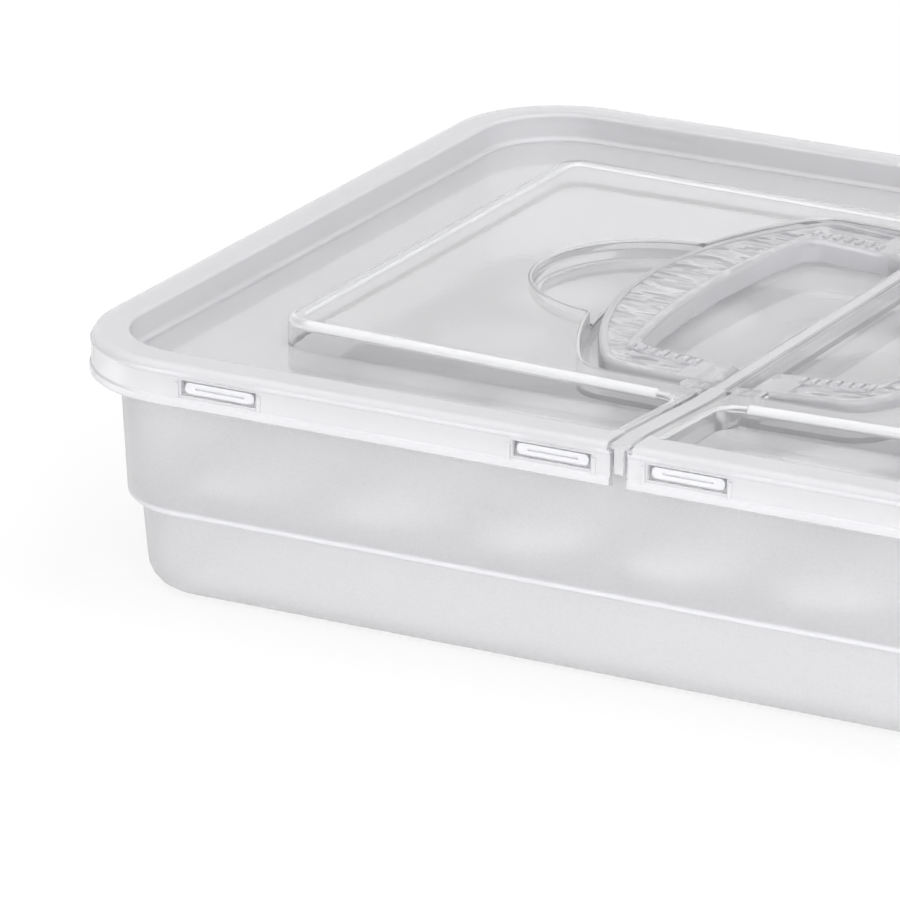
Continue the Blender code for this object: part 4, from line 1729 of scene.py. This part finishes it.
@dataclass
class EggRack:
    """The plate with rows of round, collared holes."""

    sizes: LidSizes
    thick: float = 0.0018
    columns: int = 7
    rows: int = 5
    pitch_x: float = 0.0485
    pitch_y: float = 0.0495
    hole_radius: float = 0.0197
    collar_wall: float = 0.0014
    hole_flare: float = 0.0008
    hole_steps: int = 64

    def places(self) -> list[Point]:
        """The holes' middles.

        Returns:
            The middles, column by column.
        """
        first_x = -(self.columns - 1) / 2 * self.pitch_x
        first_y = -(self.rows - 1) / 2 * self.pitch_y
        return [
            (first_x + column * self.pitch_x, first_y + row * self.pitch_y)
            for column in range(self.columns)
            for row in range(self.rows)
        ]

    def build(self) -> Object:
        """Builds the rack.

        Returns:
            The finished mesh.
        """
        low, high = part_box("egg_rack")
        inset = self.sizes.half_x - high.x
        plate_low = high.z - self.thick
        rings = rounded_top(self.sizes.inset, plate_low, high.z, self.thick / 4, inset)
        plate = Bench.skin("rack_plate", rings)
        flare = self.hole_flare
        bend = flare * FLARE_BEND
        rises = (
            (0.0, low.z - OVERRUN), (0.0, high.z - flare), (bend, high.z - bend),
            (flare, high.z), (flare, high.z + OVERRUN),
        )
        middle = high.z - self.thick / 2
        collars, holes = [], []
        for place in self.places():
            outer = Outline.circle(place, self.hole_radius + self.collar_wall, self.hole_steps)
            collars.append(Bench.prism("collar", outer, low.z, middle))
            holes.append(Bench.skin("hole", [
                (Outline.circle(place, self.hole_radius + wider, self.hole_steps), height)
                for wider, height in rises
            ]))
        Bench.combine(plate, Join.ADD, Bench.merge_objects("collars", collars))
        Bench.combine(plate, Join.CUT, Bench.merge_objects("holes", holes))
        return plate

    def dress(self, piece: Object, finish: Plastic) -> None:
        """Gives the rack its plastic and sets it in the frame."""
        Bench.coat(piece, finish)
        Bench.settle(piece, "egg_rack", "rack")


@dataclass(frozen=True)
class Lamp:
    """A square soft lamp: where it hangs, what it faces, its side and its power in watts."""

    name: str
    place: Triple
    target: Triple
    size: float
    power: float

    def hang(self) -> None:
        """Adds the lamp, which neither gloss nor clear plastic shows."""
        Bench.deselect()
        aim = (Vector(self.target) - Vector(self.place)).to_track_quat("-Z", "Y").to_euler()
        bpy.ops.object.light_add(type="AREA", location=self.place, rotation=aim)
        lamp = bpy.context.object
        lamp.name = self.name
        lamp.data.shape = "SQUARE"
        lamp.data.size = self.size
        lamp.data.energy = self.power
        lamp.visible_glossy = False
        lamp.visible_transmission = False


LAMPS = (
    Lamp("key_light", (2.0, -1.9, 1.1), (0.0, 0.0, 0.05), 1.4, 27.0),
    Lamp("front_light", (0.4, -2.6, 0.4), (0.0, 0.0, 0.04), 1.2, 31.0),
    Lamp("side_light", (2.6, -0.3, 0.8), (0.0, 0.0, 0.06), 1.2, 22.0),
    Lamp("top_light", (0.9, 0.3, 2.2), (0.0, 0.0, 0.05), 1.6, 20.0),
    Lamp("edge_light", (-1.0, -0.73, 1.82), (0.0, 0.0, 0.05), 0.5, 4.5),
)


@dataclass
class Studio:
    """A pale floor, soft light and the camera."""

    rim_top: float
    floor_size: float = 12.0
    floor_shade: float = 0.93
    floor_roughness: float = 0.9
    floor_glow: float = 0.80
    ambient: float = 0.72
    lens: float = 314.8
    sensor: float = 36.0
    sight: float = 100.0
    turn: float = 28.717
    tilt: float = 19.421
    eye_from_rim: Triple = (0.96035, -1.99538, 0.73366)

    def build(self) -> None:
        """Builds the floor, the lamps, the world and the camera."""
        self.floor()
        for lamp in LAMPS:
            lamp.hang()
        self.world()
        self.camera()

    @staticmethod
    def seen_directly(wiring: Wiring) -> Socket:
        """A value of 1 for what the camera sees, directly, mirrored or through plastic.

        Args:
            wiring: The nodes of the floor's material or of the world.

        Returns:
            The value.
        """
        path = wiring.add("ShaderNodeLightPath", {})
        total = path.outputs["Is Camera Ray"]
        for name in ("Is Glossy Ray", "Is Transmission Ray"):
            total = wiring.add("ShaderNodeMath", {0: total, 1: path.outputs[name]}, "MAXIMUM").outputs[0]
        return total

    def floor(self) -> None:
        """The pale floor, which keeps a faint shadow."""
        Bench.deselect()
        bpy.ops.mesh.primitive_plane_add(size=self.floor_size, location=(0, 0, 0))
        plane = bpy.context.object
        plane.name = "floor"
        paint = bpy.data.materials.new("pale_floor")
        paint.use_nodes = True
        wiring = Wiring(paint.node_tree)
        shader = paint.node_tree.nodes["Principled BSDF"]
        shader.inputs["Base Color"].default_value = (*(self.floor_shade,) * 3, 1.0)
        shader.inputs["Roughness"].default_value = self.floor_roughness
        glow = wiring.add("ShaderNodeEmission", {})
        seen = self.seen_directly(wiring)
        share = wiring.add("ShaderNodeMath", {0: seen, 1: self.floor_glow}, "MULTIPLY")
        values = {"Fac": share.outputs[0], 1: shader.outputs["BSDF"], 2: glow.outputs["Emission"]}
        mix = wiring.add("ShaderNodeMixShader", values)
        wiring.link(mix.outputs["Shader"], paint.node_tree.nodes["Material Output"].inputs["Surface"])
        plane.data.materials.append(paint)

    def world(self) -> None:
        """A white surround for the eye, and a dimmer one for the light."""
        world = bpy.data.worlds.new("studio")
        bpy.context.scene.world = world
        world.use_nodes = True
        wiring = Wiring(world.node_tree)
        background = world.node_tree.nodes["Background"]
        background.inputs["Color"].default_value = (1.0, 1.0, 1.0, 1.0)
        strength = wiring.spread(self.seen_directly(wiring), (0.0, 1.0), (self.ambient, 1.0))
        wiring.link(strength.outputs["Result"], background.inputs["Strength"])

    def camera(self) -> None:
        """The camera, far off with a long lens."""
        x, y, z = self.eye_from_rim
        angles = (math.radians(90 - self.tilt), 0.0, math.radians(self.turn))
        Bench.deselect()
        bpy.ops.object.camera_add(location=(x, y, z + self.rim_top), rotation=angles)
        camera = bpy.context.object
        camera.name = "camera"
        camera.data.lens = self.lens
        camera.data.sensor_width = self.sensor
        camera.data.clip_end = self.sight
        bpy.context.scene.camera = camera
        bpy.context.scene.view_settings.view_transform = "Standard"


def main() -> None:
    """Builds and dresses every piece, then the studio."""
    logging.basicConfig(level=logging.INFO, format="%(message)s")
    sizes = LidSizes()

    tub = Tub(sizes)
    tub.dress(tub.build(), FROSTED_TUB.material(), THICK_AND_HIGHLIGHT_TUB.material())
    log.info("tub ready")

    rack = EggRack(sizes)
    rack.dress(rack.build(), MILKY_RACK.material())
    log.info("rack ready")

    spine = Spine(sizes)
    spine.dress(spine.build(), MILKY_SPINE.material())
    log.info("spine ready")

    half = LidHalf(sizes)
    # edge is the plastic with the painted edge highlight.
    clear, rim, edge = (finish.material() for finish in (CLEAR_LID, MILKY_RIM, EDGE_HIGHLIGHT))
    left = half.build()
    for side, piece in (("left", left), ("right", Bench.mirrored(left, "clear_lid_right"))):
        half.dress(piece, side, clear, rim, edge)
    log.info("lid ready")

    handle = SwingHandle(sizes)
    border, rippled = FROSTED_HANDLE.material(), RIPPLED_FIELD.material()
    left = handle.build()
    for side, piece in (("left", left), ("right", Bench.mirrored(left, "grip_right"))):
        handle.dress(piece, side, border, rippled)
    log.info("handles ready")

    Studio(sizes.top).build()


if __name__ == "__main__":
    main()
